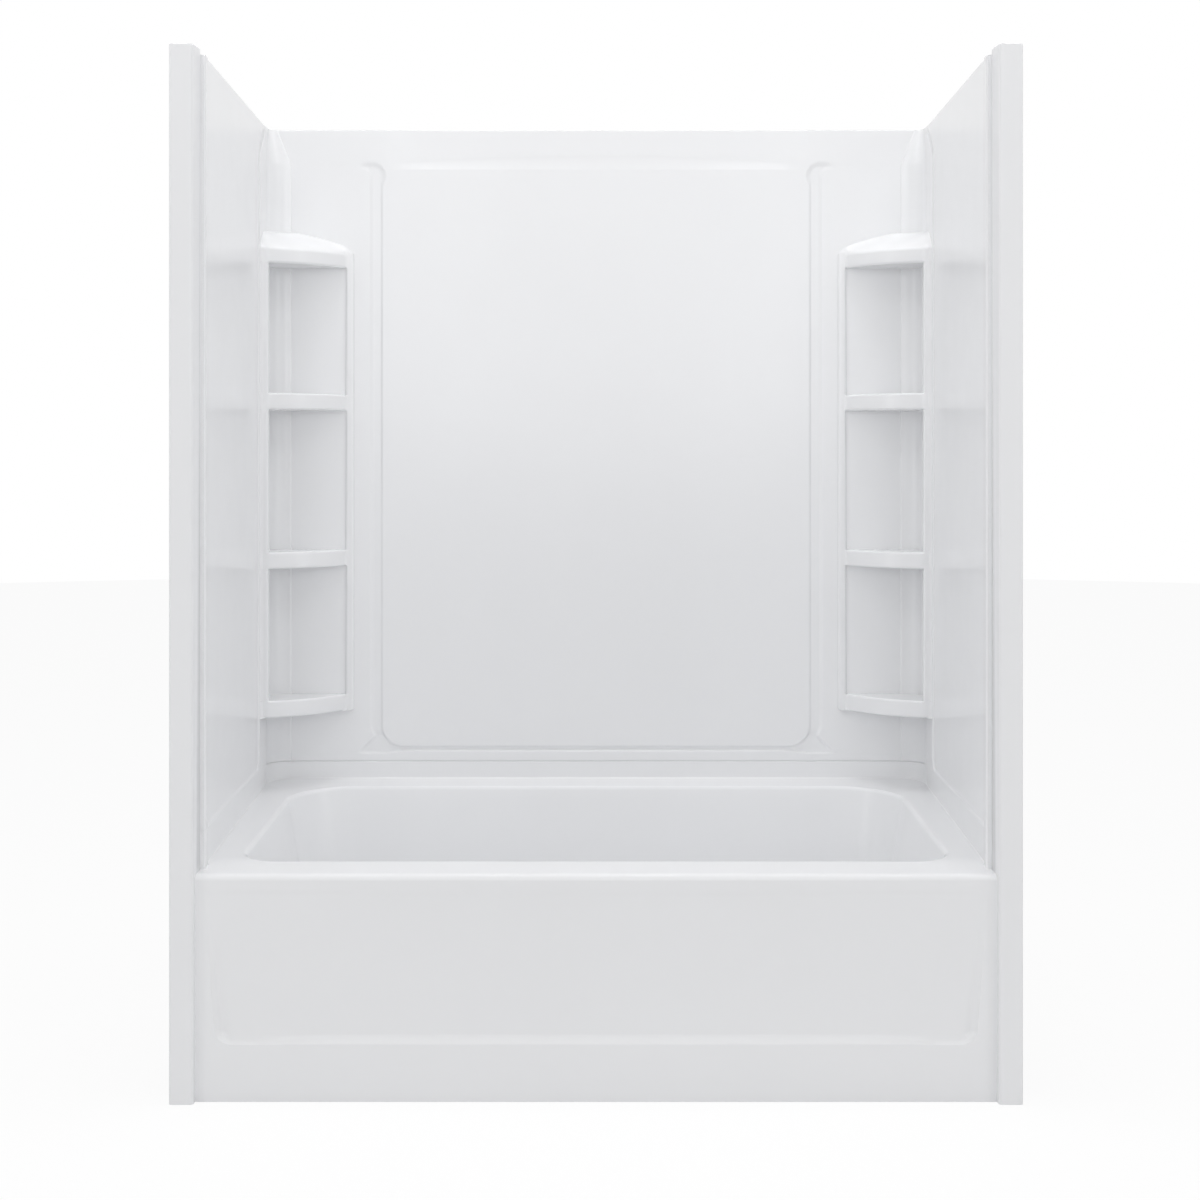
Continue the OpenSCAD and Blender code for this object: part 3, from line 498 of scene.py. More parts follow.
def basin_line(u, inset):
    """Point of the basin's outline: u is 0 to 8 round four sides and four corners"""
    if u >= 5:
        x, y = basin_line(9 - u, inset)
        return -x, y
    x0 = BASIN_X - inset
    y0, y1 = BASIN_Y0 + 0.6 * inset, BASIN_Y1 - 0.6 * inset
    fr, rr = max(FRONT_CORNER - inset / 2, 0.012), max(REAR_CORNER - inset / 2, 0.012)
    k, t = int(u), u - int(u)
    a = math.pi / 2 * t
    if k == 0:
        return -x0 + fr + t * 2 * (x0 - fr), y0
    if k == 1:
        return x0 - fr + fr * math.sin(a), y0 + fr - fr * math.cos(a)
    if k == 2:
        return x0, y0 + fr + t * (y1 - rr - y0 - fr)
    if k == 3:
        return x0 - rr + rr * math.cos(a), y1 - rr + rr * math.sin(a)
    return x0 - rr - t * 2 * (x0 - rr), y1


def wall_side(out):
    """Plan along the right-hand wall, from its nose to where the basin's rear side begins"""
    line = wall_line(out, [], APRON_X)
    cx, cy = cove_centre(COVE_R)
    start, end = BASIN_Y0 + FRONT_CORNER, BASIN_Y1 - REAR_CORNER
    depths = SIDE_STOPS + [start + (end - start) * i / SIDE_PARTS for i in range(SIDE_PARTS)]
    depths += [end + (cy - end) * i / 4 for i in range(4)]
    rx = BASIN_X - REAR_CORNER
    return ([line[NOSE_END]] + [(wall_x(y, out), y) for y in depths] + line[NOSE_END + 1:]
            + [(cx + (rx - cx) * i / 4, FACE_Y + out) for i in range(1, 4)])


def deck_stations(foot):
    """Pairs of basin place and deck border point, once round from the front left"""
    side = wall_side(-foot)
    nose_x = side[0][0]
    front = LIP_R + APRON_Y - 0.0015
    fx, rx = BASIN_X - FRONT_CORNER, BASIN_X - REAR_CORNER
    right = [(1 + 0.1 * i, (fx + (BORDER_END - fx) * i / 4, front)) for i in range(5)]
    right += [(u, (nose_x - gap, y)) for u, gap, y in BORDER_BENDS]
    us = [1.6] + [1.65 + 0.33 * i / len(SIDE_STOPS) for i in range(len(SIDE_STOPS))]
    us += [2 + i / SIDE_PARTS for i in range(SIDE_PARTS)] + [3 + 0.3 * i / 4 for i in range(4)]
    us += [3.3 + 0.4 * i / COVE_PARTS for i in range(COVE_PARTS + 1)]
    us += [3.7 + 0.3 * i / 4 for i in range(1, 4)]
    right += zip(us, side)
    stations = [(i / FRONT_PARTS, (-fx + 2 * fx * i / FRONT_PARTS, front))
                for i in range(FRONT_PARTS)]
    stations += right
    stations += [(4 + i / FRONT_PARTS, (rx - 2 * rx * i / FRONT_PARTS, FACE_Y - foot))
                 for i in range(FRONT_PARTS + 1)]
    return stations + [(9 - u, (-x, y)) for u, (x, y) in reversed(right)][:-1]


def round_over(radius, parts):
    """Offsets of a rounding from level ground into a falling side: inset and drop"""
    end = math.pi / 2 - math.atan(LEAN)
    back = radius * math.tan(end / 2)
    turns = [end * i / parts for i in range(parts + 1)]
    return [(radius * math.sin(a) - back, radius * (1 - math.cos(a))) for a in turns]


def add_basin(bm, kit, us, border, line):
    """Deck inside its border, rim, sides, floor and drain hole of the basin"""
    rim = round_over(kit.rim_round, 7)
    inner = [basin_line(u, rim[0][0]) for u in us]
    for t in (0.12, 0.35, 0.65, 0.9, 1.0):
        plan = [(bx + (ix - bx) * t, by + (iy - by) * t)
                for (bx, by), (ix, iy) in zip(border, inner)]
        line = next_line(bm, line, [(x, y, deck_z(y)) for x, y in plan], True)
    for inset, drop in rim[1:]:
        plan = [basin_line(u, inset) for u in us]
        line = next_line(bm, line, [(x, y, deck_z(y) - drop) for x, y in plan], True)
    top_inset, top_drop = rim[-1]
    tops = [deck_z(basin_line(u, top_inset)[1]) - top_drop for u in us]
    fillet, lean = kit.floor_round, math.atan(LEAN)
    low = BASIN_FLOOR + fillet * (1 - math.sin(lean))
    low_inset = LEAN * (RIM_MID_H - low)
    for t in (0.1, 0.3, 0.55, 0.8, 1.0):
        inset = top_inset + (low_inset - top_inset) * t
        line = next_line(bm, line, [(*basin_line(u, inset), top + (low - top) * t)
                                    for u, top in zip(us, tops)], True)
    turns = [lean + (math.pi / 2 - lean) * i / 10 for i in range(1, 11)]
    rows = [(low_inset + fillet * (math.cos(lean) - math.cos(a)),
             low - fillet * (math.sin(a) - math.sin(lean))) for a in turns]
    rows.append((low_inset + fillet * math.cos(lean) + 0.012, BASIN_FLOOR))
    for inset, z in rows:
        line = next_line(bm, line, [(*basin_line(u, inset), z) for u in us], True)
    hole = bmesh.ops.create_circle(bm, segments=48, radius=DRAIN_R)["verts"]
    bmesh.ops.translate(bm, vec=(DRAIN_X, BASIN_MID, BASIN_FLOOR), verts=hole)
    ring = list({e for v in hole for e in v.link_edges})
    bmesh.ops.triangle_fill(bm, use_beauty=True, edges=line_edges(bm, line, True) + ring)


def upstand_plan(out):
    """Plan of the upstand from flange to flange, at a distance behind the walls' face"""
    half = wall_line(out, [], APRON_X)[1:NOSE_END] + wall_side(out)
    rx = BASIN_X - REAR_CORNER
    back = [(rx - 2 * rx * i / FRONT_PARTS, FACE_Y + out) for i in range(FRONT_PARTS + 1)]
    return half + back + [(-x, y) for x, y in reversed(half)]


def to_studs(x, y):
    """Point of the nailing flange behind a point of the upstand"""
    cx, cy = cove_centre(COVE_R)
    if y < FLANGE_Y + 0.02:
        return math.copysign(STUD_X, x), FLANGE_Y + FLANGE_THICK
    if y < cy:
        return math.copysign(STUD_X, x), y
    if abs(x) < cx:
        return x, STUD_Y
    t = 2 * math.atan2(y - cy, abs(x) - cx) / (math.pi / 2)
    if t < 1:
        return math.copysign(STUD_X, x), cy + (STUD_Y - cy) * t
    return math.copysign(STUD_X - (STUD_X - cx) * (t - 1), x), STUD_Y


def add_upstand(bm, kit, line):
    """Upstand with its foot, face and rounded top, ledge out to the studs, nailing flange"""
    foot, edge, cy = kit.foot_round, kit.edge_round, cove_centre(COVE_R)[1]
    for i in range(1, 7):
        a = math.radians(15 * i)
        line = next_line(bm, line, [(x, y, deck_z(y) + foot * (1 - math.cos(a)))
                                    for x, y in upstand_plan(foot * (math.sin(a) - 1))])
    # the top edge is crisp along the end walls and rounder along the back
    for i in range(5):
        a = math.radians(22.5 * i)
        points = []
        for (fx, fy), (x, y) in zip(upstand_plan(0.0), upstand_plan(edge * (1 - math.cos(a)))):
            s = 0.15 + 0.85 * ease((fy - cy + 0.005) / 0.025)
            points.append((fx + (x - fx) * s, fy + (y - fy) * s,
                           EDGE_H - edge * s * (1 - math.sin(a))))
        line = next_line(bm, line, points)
    studs = [to_studs(x, y) for x, y in upstand_plan(0.0)]
    for z in (EDGE_H, NAIL_TOP):
        line = next_line(bm, line, [(x, y, z) for x, y in studs])


def bath_shell(kit):
    """Skin of the bath: basin, deck, lip, apron with its recess, upstand and edges"""
    bm = bmesh.new()
    stations = deck_stations(kit.foot_round)
    us = [u for u, _ in stations]
    border = [p for _, p in stations]
    front_y = border[0][1]
    outer = start_line(bm, [(x, y, deck_z(y)) for x, y in border])
    add_basin(bm, kit, us, border, outer)
    # corners of the deck beside the columns
    start = wall_line(-kit.foot_round, [], APRON_X)[1:NOSE_END + 1]
    tip = border.index(start.pop())
    last = FRONT_PARTS - tip + len(border)
    ends, lips = [], []
    for s, at in ((1, tip), (-1, last)):
        made = [bm.verts.new((s * x, y, deck_z(y))) for x, y in start]
        lip = bm.verts.new((s * LIP_X, front_y, deck_z(front_y)))
        bm.faces.new([lip] + made + [outer[(at - s * i) % len(outer)] for i in range(5)])
        ends.append(made)
        lips.append(lip)
    add_upstand(bm, kit, ends[0] + outer[tip:last + 1] + ends[1][::-1])
    # lip and apron
    front = [v for v in outer if abs(v.co.y - front_y) < 1e-7] + lips
    front.sort(key=lambda v: v.co.x)
    rows = [front]
    for i in range(1, 9):
        a = math.radians(97 + 83 * i / 8)
        y, z = APRON_Y + LIP_R * (1 + math.cos(a)), LIP_H - LIP_R * (1 - math.sin(a))
        points = [(v.co.x, y, z) for v in front]
        for k in (0, -1):
            points[k] = (math.copysign(LIP_X + 0.0001 * i, points[k][0]), y, z)
        rows.append(next_line(bm, rows[-1], points))
    corners = apron_face(bm, kit, rows[-1])
    # cheeks behind the apron's ends
    for at, corner, end in ((0, corners[0], ends[1]), (-1, corners[1], ends[0])):
        back = end[0]
        bm.faces.new([back] + [row[at] for row in rows]
                     + [corner, bm.verts.new((back.co.x, back.co.y, 0.0))])
    bmesh.ops.remove_doubles(bm, verts=bm.verts[:], dist=1e-6)
    face_towards(bm, (0, BASIN_MID, BASIN_FLOOR), (0, 0, 1))
    # flanges behind the columns
    for s in (-1, 1):
        xs = sorted((s * (APRON_X + 0.0007), s * SIDE_X))
        box_part(bm, (xs[0], FLANGE_Y, 0.0), (xs[1], FLANGE_Y + FLANGE_THICK, EDGE_H))
    return bm


def apron_face(bm, kit, top):
    """Front of the apron below the lip, with its shallow leaning recess"""
    low = [bm.verts.new((top[k].co.x, APRON_Y, 0.0)) for k in (0, -1)]
    rim = line_edges(bm, [low[0]] + top + [low[1]], True)
    band, head = 0.102, LIP_H - 2.2 * LIP_R
    foot_x, head_x = APRON_X - 0.0335, APRON_X - 0.012
    rx, rz = kit.recess_round * 1.35, kit.recess_round
    lean = (head_x - foot_x) / (head - band)
    outline = [(foot_x + lean * rz + x, z)
               for x, z in [(rx * (math.cos(a) - 1), band + rz * (1 + math.sin(a)))
                            for a in map(math.radians, range(-90, 7, 8))]]
    start = band + rz
    outline += [(foot_x + lean * (z - band), z)
                for z in [start + (head - start) * i / 10 for i in range(1, 11)]]
    full = outline + [(-x, z) for x, z in reversed(outline)]
    face = bm.faces.new([bm.verts.new((x, APRON_Y, z)) for x, z in full])
    bmesh.ops.triangle_fill(bm, use_beauty=True, edges=rim + list(face.edges))
    width = kit.recess_slope
    share = {v: t for ring, t in inset_rings(bm, face, width, 8) for v in ring}
    for i in range(-15, 16):
        faces = list({f for v in share if v.is_valid for f in v.link_faces
                      if all(w in share for w in f.verts)})
        made = bmesh.ops.bisect_plane(bm, geom=with_borders(faces), plane_co=(0.04 * i, 0, 0),
                                      plane_no=(1, 0, 0), dist=1e-6)["geom_cut"]
        for v in verts_of(made):
            if v not in share:
                near = min(v.co.z - band, head - v.co.z)
                share[v] = min(max(near / width, 0.0), 1.0)
    tall = LIP_H - LIP_R
    for v, t in share.items():
        up = v.co.z - band
        across = foot_x + lean * up - abs(v.co.x)
        middle = ease((0.665 - abs(v.co.x)) / 0.185)
        low_edge = ease(t / 0.34)
        low_edge += (0.35 * math.sin(math.pi / 2 * t) + 0.65 * ease(t) - low_edge) * middle
        side_edge = 1 - (1 - min(t / 0.7, 1.0)) ** 1.4
        at_side = ease(0.5 + (up - across) / 0.020)
        shape = low_edge + (side_edge - low_edge) * at_side
        shape *= 0.45 + 0.55 * middle + 0.45 * at_side * (1 - middle)
        v.co.y = APRON_Y + kit.recess_depth * shape * (tall - v.co.z) / (tall - band)
    return low


# Shapes of the wall panels

def foot_rows(radius, turns):
    """Rows of a wall's skin up its lower edge: distance back and height"""
    rows = [(radius * (1 - math.sin(a)), EDGE_H + radius * (1 - math.cos(a)))
            for a in map(math.radians, turns)]
    return [(radius, EDGE_H)] + rows


def top_rows(radius, back):
    """Rows of a wall's skin round its top edge, and its top flange"""
    rows = [(radius * (1 - math.cos(a)), WALL_TOP - radius * (1 - math.sin(a)))
            for a in map(math.radians, range(15, 91, 15))]
    return rows + [(back, WALL_TOP)]


def stack_rows(bm, chain, rows):
    """A skin from its rows, each a distance back and a height"""
    line = start_line(bm, chain(*rows[0]))
    for back, z in rows[1:]:
        line = next_line(bm, line, chain(back, z))


def border_share(kit, y, z):
    """How much of the raised border behind and below an end wall's face is at a place"""
    kink = WALL_TOP - kit.frieze + 0.004
    t = min(max((z - kink) / (WALL_TOP - 0.006 - kink), 0.0), 1.0)
    rear = FACE_Y - 0.138 + 0.088 * t ** 1.5
    inside = quadrant(rear - y, z - EDGE_H - 0.0055, kit.end_border_round)
    return 1 - ease(inside / kit.end_border_slope)


def end_wall_skin(kit):
    """Right-hand end wall: flange, rounded nose, flat face, raised border, hollow corner"""
    bm = bmesh.new()
    stops = SIDE_STOPS[1:6] + [-0.30, -0.20, -0.10, 0.0, 0.08, 0.15, 0.19]
    stops += steps(0.205, 0.320, 0.003)
    top_r, low_r, step = kit.top_round, kit.edge_round, kit.seam_step
    kink = WALL_TOP - kit.frieze + 0.008
    parts = 14

    def chain(out, z):
        t = min(max((z - kink) / (WALL_TOP - 0.004 - kink), 0.0), 1.0)
        cove = COVE_R - step - (COVE_R - step - 0.015) * t
        pts = wall_line(out, stops, SIDE_X, cove, step, parts)
        if out <= low_r and z < 1:
            # the nose's lower edge is as crisp as the wall's
            nose = wall_line(out * 0.10, stops, SIDE_X, cove, step, parts)
            pts[:NOSE_END + 1] = nose[:NOSE_END + 1]
        cx, cy = cove_centre(cove, step)
        first = len(pts) - parts - 1
        heights = [z] * (len(pts) + 5)
        for k in range(1, len(pts)):
            x, y = pts[k]
            # the lower edge is crisp along the wall and rounder round the hollow corner
            crisp = 0.90 * (1 - ease((k - first) / 4))
            low_out = out * crisp if out <= low_r and z < 1 else 0.0
            if z < EDGE_H + low_r + 1e-6:
                heights[k] = EDGE_H + (z - EDGE_H) * (1 - crisp)
            if k <= NOSE_END:
                continue
            lift = kit.end_border_rise * border_share(kit, min(y, cy), heights[k])
            lift *= ease((y - STRIP_END) / 0.020)
            if k < first:
                pts[k] = (x - lift - low_out, y)
            else:
                lift = lift * (1 - (k - first) / parts) + low_out
                far = math.hypot(x - cx, y - cy)
                pts[k] = (x - lift * (x - cx) / far, y - lift * (y - cy) / far)
        if z == WALL_TOP:
            # the top flange runs in under the back wall's
            for k in range(first, len(heights)):
                heights[k] = z - 0.0004 * min((k - first) / 4, 1.0)
        # the edge at the seam, rounded down to the back wall
        x, y = pts[-1]
        x, bead = x - 0.002, kit.seam_round
        pts += [(x, y)] + [(x - bead * math.sin(a), y + bead * (1 - math.cos(a)))
                           for a in map(math.radians, (30, 60, 90))]
        pts += [(x - bead, PLATE_Y - GAP + out)]
        return [(px, py, pz) for (px, py), pz in zip(pts, heights)]

    rows = [(0.030, EDGE_H)] + foot_rows(low_r, (30, 60, 90))
    rows += [(0.0, z) for z in steps(EDGE_H + low_r + 0.0015, EDGE_H + 0.046, 0.0025)]
    rows += [(0.0, z) for z in (0.6, 0.8, 1.0, 1.3, 1.6, kink)]
    rows += [(0.0, kink + (WALL_TOP - top_r - kink) * i / 12) for i in range(1, 13)]
    stack_rows(bm, chain, rows + top_rows(top_r, 0.033))
    for v in bm.verts:
        v.co.x = min(v.co.x, SIDE_X)
        v.co.y = min(v.co.y, BACK_Y)
    bmesh.ops.remove_doubles(bm, verts=bm.verts[:], dist=1e-6)
    face_towards(bm, (wall_x(0), 0, 1.3), (-1, 0, 0))
    return bm


def quadrant(u, v, radius):
    """Distance into a quarter plane with a rounded corner, from the distances to its sides"""
    if u < radius and v < radius:
        return radius - math.hypot(radius - u, radius - v)
    return min(u, v)


def wall_relief(kit, x, z):
    """How far the back wall's face stands before its grooves"""
    x = abs(x)
    half, groove, head = kit.centre_width / 2, kit.groove_width, WALL_TOP - kit.frieze
    low, brow = EDGE_H + 0.0345, head + 0.0100
    crisp, soft = kit.panel_edge, kit.groove_slope
    # smooth band and centre panel: all that lies inside the grooves' outer bank
    if z < 1.2:
        frame_in = quadrant(half - x, z - low, kit.centre_round)
        bank = crisp
    else:
        frame_in = -quadrant(x - half, brow - z, kit.side_panel_round * 0.7)
        bank = crisp + 0.009 * ease((z - head + 0.036) / 0.020)
    rise = ease((frame_in + 0.9 * crisp) / bank)
    # side panel, whose lower inner corner flares out to the rail
    foot = half + groove * 0.79
    pinch = EDGE_H + 0.056
    if z < 1.2:
        foot -= 0.007 * ease((pinch + 0.022 - z) / 0.022)
        foot += 0.036 * max((pinch - z) / 0.036, 0.0) ** 1.25
        upper = ease((z - pinch + 0.010) / 0.020)
        side = ease((x - foot) * (0.75 + 0.25 * upper) / (soft * (0.7 + 0.3 * upper)))
        side *= ease((z - EDGE_H - 0.0165) / 0.004)
    else:
        side_in = quadrant(x - foot, head + 0.0085 - z, kit.side_panel_round * 0.7)
        side = ease(side_in / soft)
    # rail along the bath, a little lower under the side panels
    rail_top = EDGE_H + 0.0200 + 0.005 * ease((half - x) / 0.060)
    rail = ease((rail_top + 0.0005 - z) / 0.003)
    # floor of the grooves: deepest at their foot, and all but level beside the side panels
    floor = 0.4 if z > 1.2 else 0.4 * ease((z - pinch) / 0.014)
    away = ease((x - half - groove - 0.004) / 0.030)
    floor += ((0.95 if z > 1.2 else 0.80) - floor) * away
    height = floor + (1 - floor) * max(rise, side, rail)
    # curved ledge over the centre panel
    if z > head and x < half:
        back = ease((x - 0.395) / 0.075)
        tall = kit.ledge_height - 0.017 * (x / 0.437) ** 2
        t = min((z - head) / tall, 1.0)
        height = back + (1 - back) * (1 - t) ** 1.25
    return PANEL_RISE * height


def back_wall_skin(kit):
    """Face of the back wall with its grooves, panels, rail and curved ledge"""
    bm = bmesh.new()
    head = WALL_TOP - kit.frieze
    top_r, low_r = kit.top_round, kit.edge_round
    xs = steps(0.0, 0.36, 0.045) + steps(0.36, 0.430, 0.010) + steps(0.430, 0.466, 0.0025)
    xs += steps(0.466, 0.514, 0.0014) + steps(0.514, 0.552, 0.003)
    xs += [0.552, 0.60, 0.65, 0.69, 0.722]
    xs = [-x for x in reversed(xs[1:])] + xs
    level = steps(EDGE_H + 0.005, EDGE_H + 0.066, 0.0015) + steps(EDGE_H + 0.066, 0.57, 0.004)
    level += [0.57, 0.65, 0.8, 1.0, 1.2, 1.4, 1.6, 1.70, 1.74, head - 0.034]
    level += steps(head - 0.028, head + 0.014, 0.0014) + steps(head + 0.014, head + 0.044, 0.003)
    level += [head + 0.044, WALL_TOP - 0.022, WALL_TOP - top_r]
    rows = [(0.028, EDGE_H)] + foot_rows(low_r, (20, 40, 60, 90)) + [(0.0, z) for z in level]

    def chain(back, z):
        z_in = min(max(z, EDGE_H + 0.002), WALL_TOP - 0.001)
        ys = [PLATE_Y - wall_relief(kit, x, z_in) + back for x in xs]
        return [(x, min(y, BACK_Y - 0.0005), z) for x, y in zip(xs, ys)]

    stack_rows(bm, chain, rows + top_rows(top_r, 0.0235))
    face_towards(bm, (0, PLATE_Y, 1.2), (0, -1, 0))
    return bm


# Shapes of the columns and towers

def column_skin(kit):
    """Right-hand front column: a channel with rounded corners, a slot behind and a closed top"""
    bm = bmesh.new()
    low, high = COLUMN_LOW, COLUMN_HIGH
    middle = (low.y + FLANGE_Y) / 2
    flare, crown_round = 0.004, 0.002
    bmesh.ops.create_cube(bm, size=1.0)
    for v in bm.verts:
        v.co.y = FLANGE_Y if v.co.y > 0 else low.y
        v.co.z = high.z if v.co.z > 0 else 0.0
        if v.co.x > 0:
            v.co.x = high.x
        else:
            v.co.x = low.x if v.co.y > middle else low.x + flare
    bm.normal_update()
    for x in SLOT_X:
        near = [f for f in bm.faces if f.calc_center_median().y > FLANGE_Y - 0.001]
        bmesh.ops.bisect_plane(bm, geom=with_borders(near), plane_co=(x, 0, 0),
                               plane_no=(1, 0, 0))
    gone = []
    for f in bm.faces:
        c = f.calc_center_median()
        if c.z < 0.001 or c.y > FLANGE_Y - 0.001 and SLOT_X[0] < c.x < SLOT_X[1]:
            gone.append(f)
    bmesh.ops.delete(bm, geom=gone, context="FACES_ONLY")
    upright = [e for e in bm.edges if abs(e.verts[0].co.z - e.verts[1].co.z) > 0.5
               and e.verts[0].co.y < middle]
    round_edges(bm, upright, kit.column_round, 6)
    crown = [e for e in bm.edges if all(v.co.z > high.z - 1e-6 for v in e.verts)
             and len(e.link_faces) == 2]
    round_edges(bm, crown, crown_round, 3)
    face_towards(bm, (0.745, low.y, 1.0), (0, -1, 0))
    return bm


def tower_path():
    """Plan of a right-hand tower's front, with the numbers of its two niche edges"""
    y0 = FACE_Y - TOWER_DEEP
    a = (wall_x(y0) - 0.0194, y0)
    b = (TOWER_END, FACE_Y - 0.006)
    bulge = 0.020
    chord = math.hypot(b[0] - a[0], b[1] - a[1])
    radius = chord * chord / (8 * bulge) + bulge / 2
    nx, ny = -(b[1] - a[1]) / chord, (b[0] - a[0]) / chord
    if ny > 0:
        nx, ny = -nx, -ny
    cx = (a[0] + b[0]) / 2 - nx * (radius - bulge)
    cy = (a[1] + b[1]) / 2 - ny * (radius - bulge)
    t0 = math.degrees(math.atan2(a[1] - cy, a[0] - cx)) % 360
    t1 = math.degrees(math.atan2(b[1] - cy, b[0] - cx)) % 360
    curve = arc(cx, cy, radius, t0, t1, 16)
    hy = y0 - TOWER_HOLLOW
    hollow = arc(wall_x(hy) - (TOWER_HOLLOW + GAP), hy, TOWER_HOLLOW, 0, 90, 5)
    line = hollow + curve
    line += [(b[0] - TOWER_RETURN, b[1]), (b[0] - TOWER_RETURN, FACE_Y - GAP)]
    return line, len(hollow), len(hollow) + 16


def spaced(points, parts):
    """Points at equal distances along a line"""
    lengths = [0.0]
    for (ax, ay), (bx, by) in zip(points, points[1:]):
        lengths.append(lengths[-1] + math.hypot(bx - ax, by - ay))
    out, k = [], 0
    for i in range(parts + 1):
        s = lengths[-1] * i / parts
        while k < len(points) - 2 and lengths[k + 1] < s:
            k += 1
        t = (s - lengths[k]) / max(lengths[k + 1] - lengths[k], 1e-9)
        out.append((points[k][0] + t * (points[k + 1][0] - points[k][0]),
                    points[k][1] + t * (points[k + 1][1] - points[k][1])))
    return out


def tower_walls(parts):
    """Plan along the walls behind a tower, from the end wall round to the back wall"""
    y0 = FACE_Y - TOWER_DEEP - TOWER_HOLLOW
    cx, cy = cove_centre(COVE_R)
    line = [(wall_x(y0) - GAP, y0)]
    line += arc(cx, cy, COVE_R - GAP, -math.degrees(TURN), 90, 16)
    line += [(TOWER_END - TOWER_RETURN, FACE_Y - GAP)]
    return spaced(line, parts)


def tower_skin(kit):
    """Right-hand shelf tower: moulded front with three niches, shelves and sloping cap"""
    bm = bmesh.new()
    levels = SHELF_LEVELS
    path, ia, ib = tower_path()
    count = len(path)
    line = start_line(bm, [(x, y, levels[0]) for x, y in path])
    bottom = line
    for z in levels[1:]:
        line = next_line(bm, line, [(x, y, z) for x, y in path])
    left, right = path[ia], path[ib]
    niches = []
    for f in bm.faces:
        c = f.calc_center_median()
        if right[0] < c.x < left[0] and any(levels[i] < c.z < levels[i + 1] for i in (1, 3, 5)):
            niches.append(f)
    bmesh.ops.delete(bm, geom=niches, context="FACES")
    rims = [e for e in bm.edges if len(e.link_faces) == 1
            and all(levels[0] + 0.01 < v.co.z < levels[-1] - 0.01 for v in e.verts)
            and all(right[0] - 1e-6 < v.co.x < left[0] + 1e-6 for v in e.verts)]
    for v in verts_of(bmesh.ops.extrude_edge_only(bm, edges=rims)["geom"]):
        v.co.y = min(v.co.y + 0.012, NICHE_BACK)
    # underside, a strip behind the lower edge
    next_line(bm, bottom, [(x + (0.655 - x) * 0.12, min(y + (0.345 - y) * 0.12, NICHE_BACK),
                            levels[0]) for x, y in path])
    # cap that climbs to the walls
    behind = tower_walls(count - 1)
    along = [0.0]
    for (ax, ay), (bx, by) in zip(behind, behind[1:]):
        along.append(along[-1] + math.hypot(bx - ax, by - ay))
    rise = [kit.cap_rise * min(d / 0.060, 1.0) ** 0.8
            * min((along[-1] - d) / 0.130, 1.0) ** 0.55 for d in along]
    for t in [i / 6 for i in range(1, 7)]:
        line = next_line(bm, line, [
            (ax + (bx - ax) * t, ay + (by - ay) * t, levels[-1] + h * (t ** 0.85))
            for (ax, ay), (bx, by), h in zip(path, behind, rise)])
    bmesh.ops.remove_doubles(bm, verts=bm.verts[:], dist=2e-5)

    def on(v, p):
        return abs(v.co.x - p[0]) < 1e-5 and abs(v.co.y - p[1]) < 1e-5

    edges = {e for e in rims if e.is_valid}
    for e in bm.edges:
        a, b = e.verts
        if abs(a.co.z - b.co.z) > 0.01 and len(e.link_faces) == 2:
            if any(on(a, p) and on(b, p) for p in (left, right, path[count - 2])):
                edges.add(e)
        if all(abs(v.co.z - levels[0]) < 1e-6 for v in e.verts) and len(e.link_faces) == 2:
            edges.add(e)
    shape = [e for e in edges if len(e.link_faces) == 2 and e.calc_face_angle(0.0) > 0.15]
    round_edges(bm, shape, kit.shelf_round)
    crest = [e for e in bm.edges if len(e.link_faces) == 2
             and all(abs(v.co.z - levels[-1]) < 1e-5 for v in e.verts)
             and e.calc_face_angle(0.0) > 0.3]
    round_edges(bm, crest, kit.shelf_round)
    face_towards(bm, (0.62, 0.29, 1.594), (-0.6, -0.8, 0))
    # shelves behind the front
    cx, cy = cove_centre(COVE_R)
    for i in (0, 2, 4, 6):
        low, high = levels[i] + 0.00005, levels[i + 1] - 0.00005
        plan = [(x, min(y + 0.0085, NICHE_BACK)) for x, y in path[ia:ib + 1]]
        plan += arc(cx, cy, COVE_R - GAP, -math.degrees(TURN), 90, 12)[::-1]
        plan += [(wall_x(path[0][1] + 0.003) - GAP, path[0][1] + 0.003)]
        face = bm.faces.new([bm.verts.new((x, y, low)) for x, y in plan])
        verts = verts_of(bmesh.ops.extrude_face_region(bm, geom=[face])["geom"])
        bmesh.ops.translate(bm, vec=(0, 0, high - low), verts=verts)
        solid = list({f for v in verts for f in v.link_faces} | {face})
        bmesh.ops.recalc_face_normals(bm, faces=solid)
    return bm


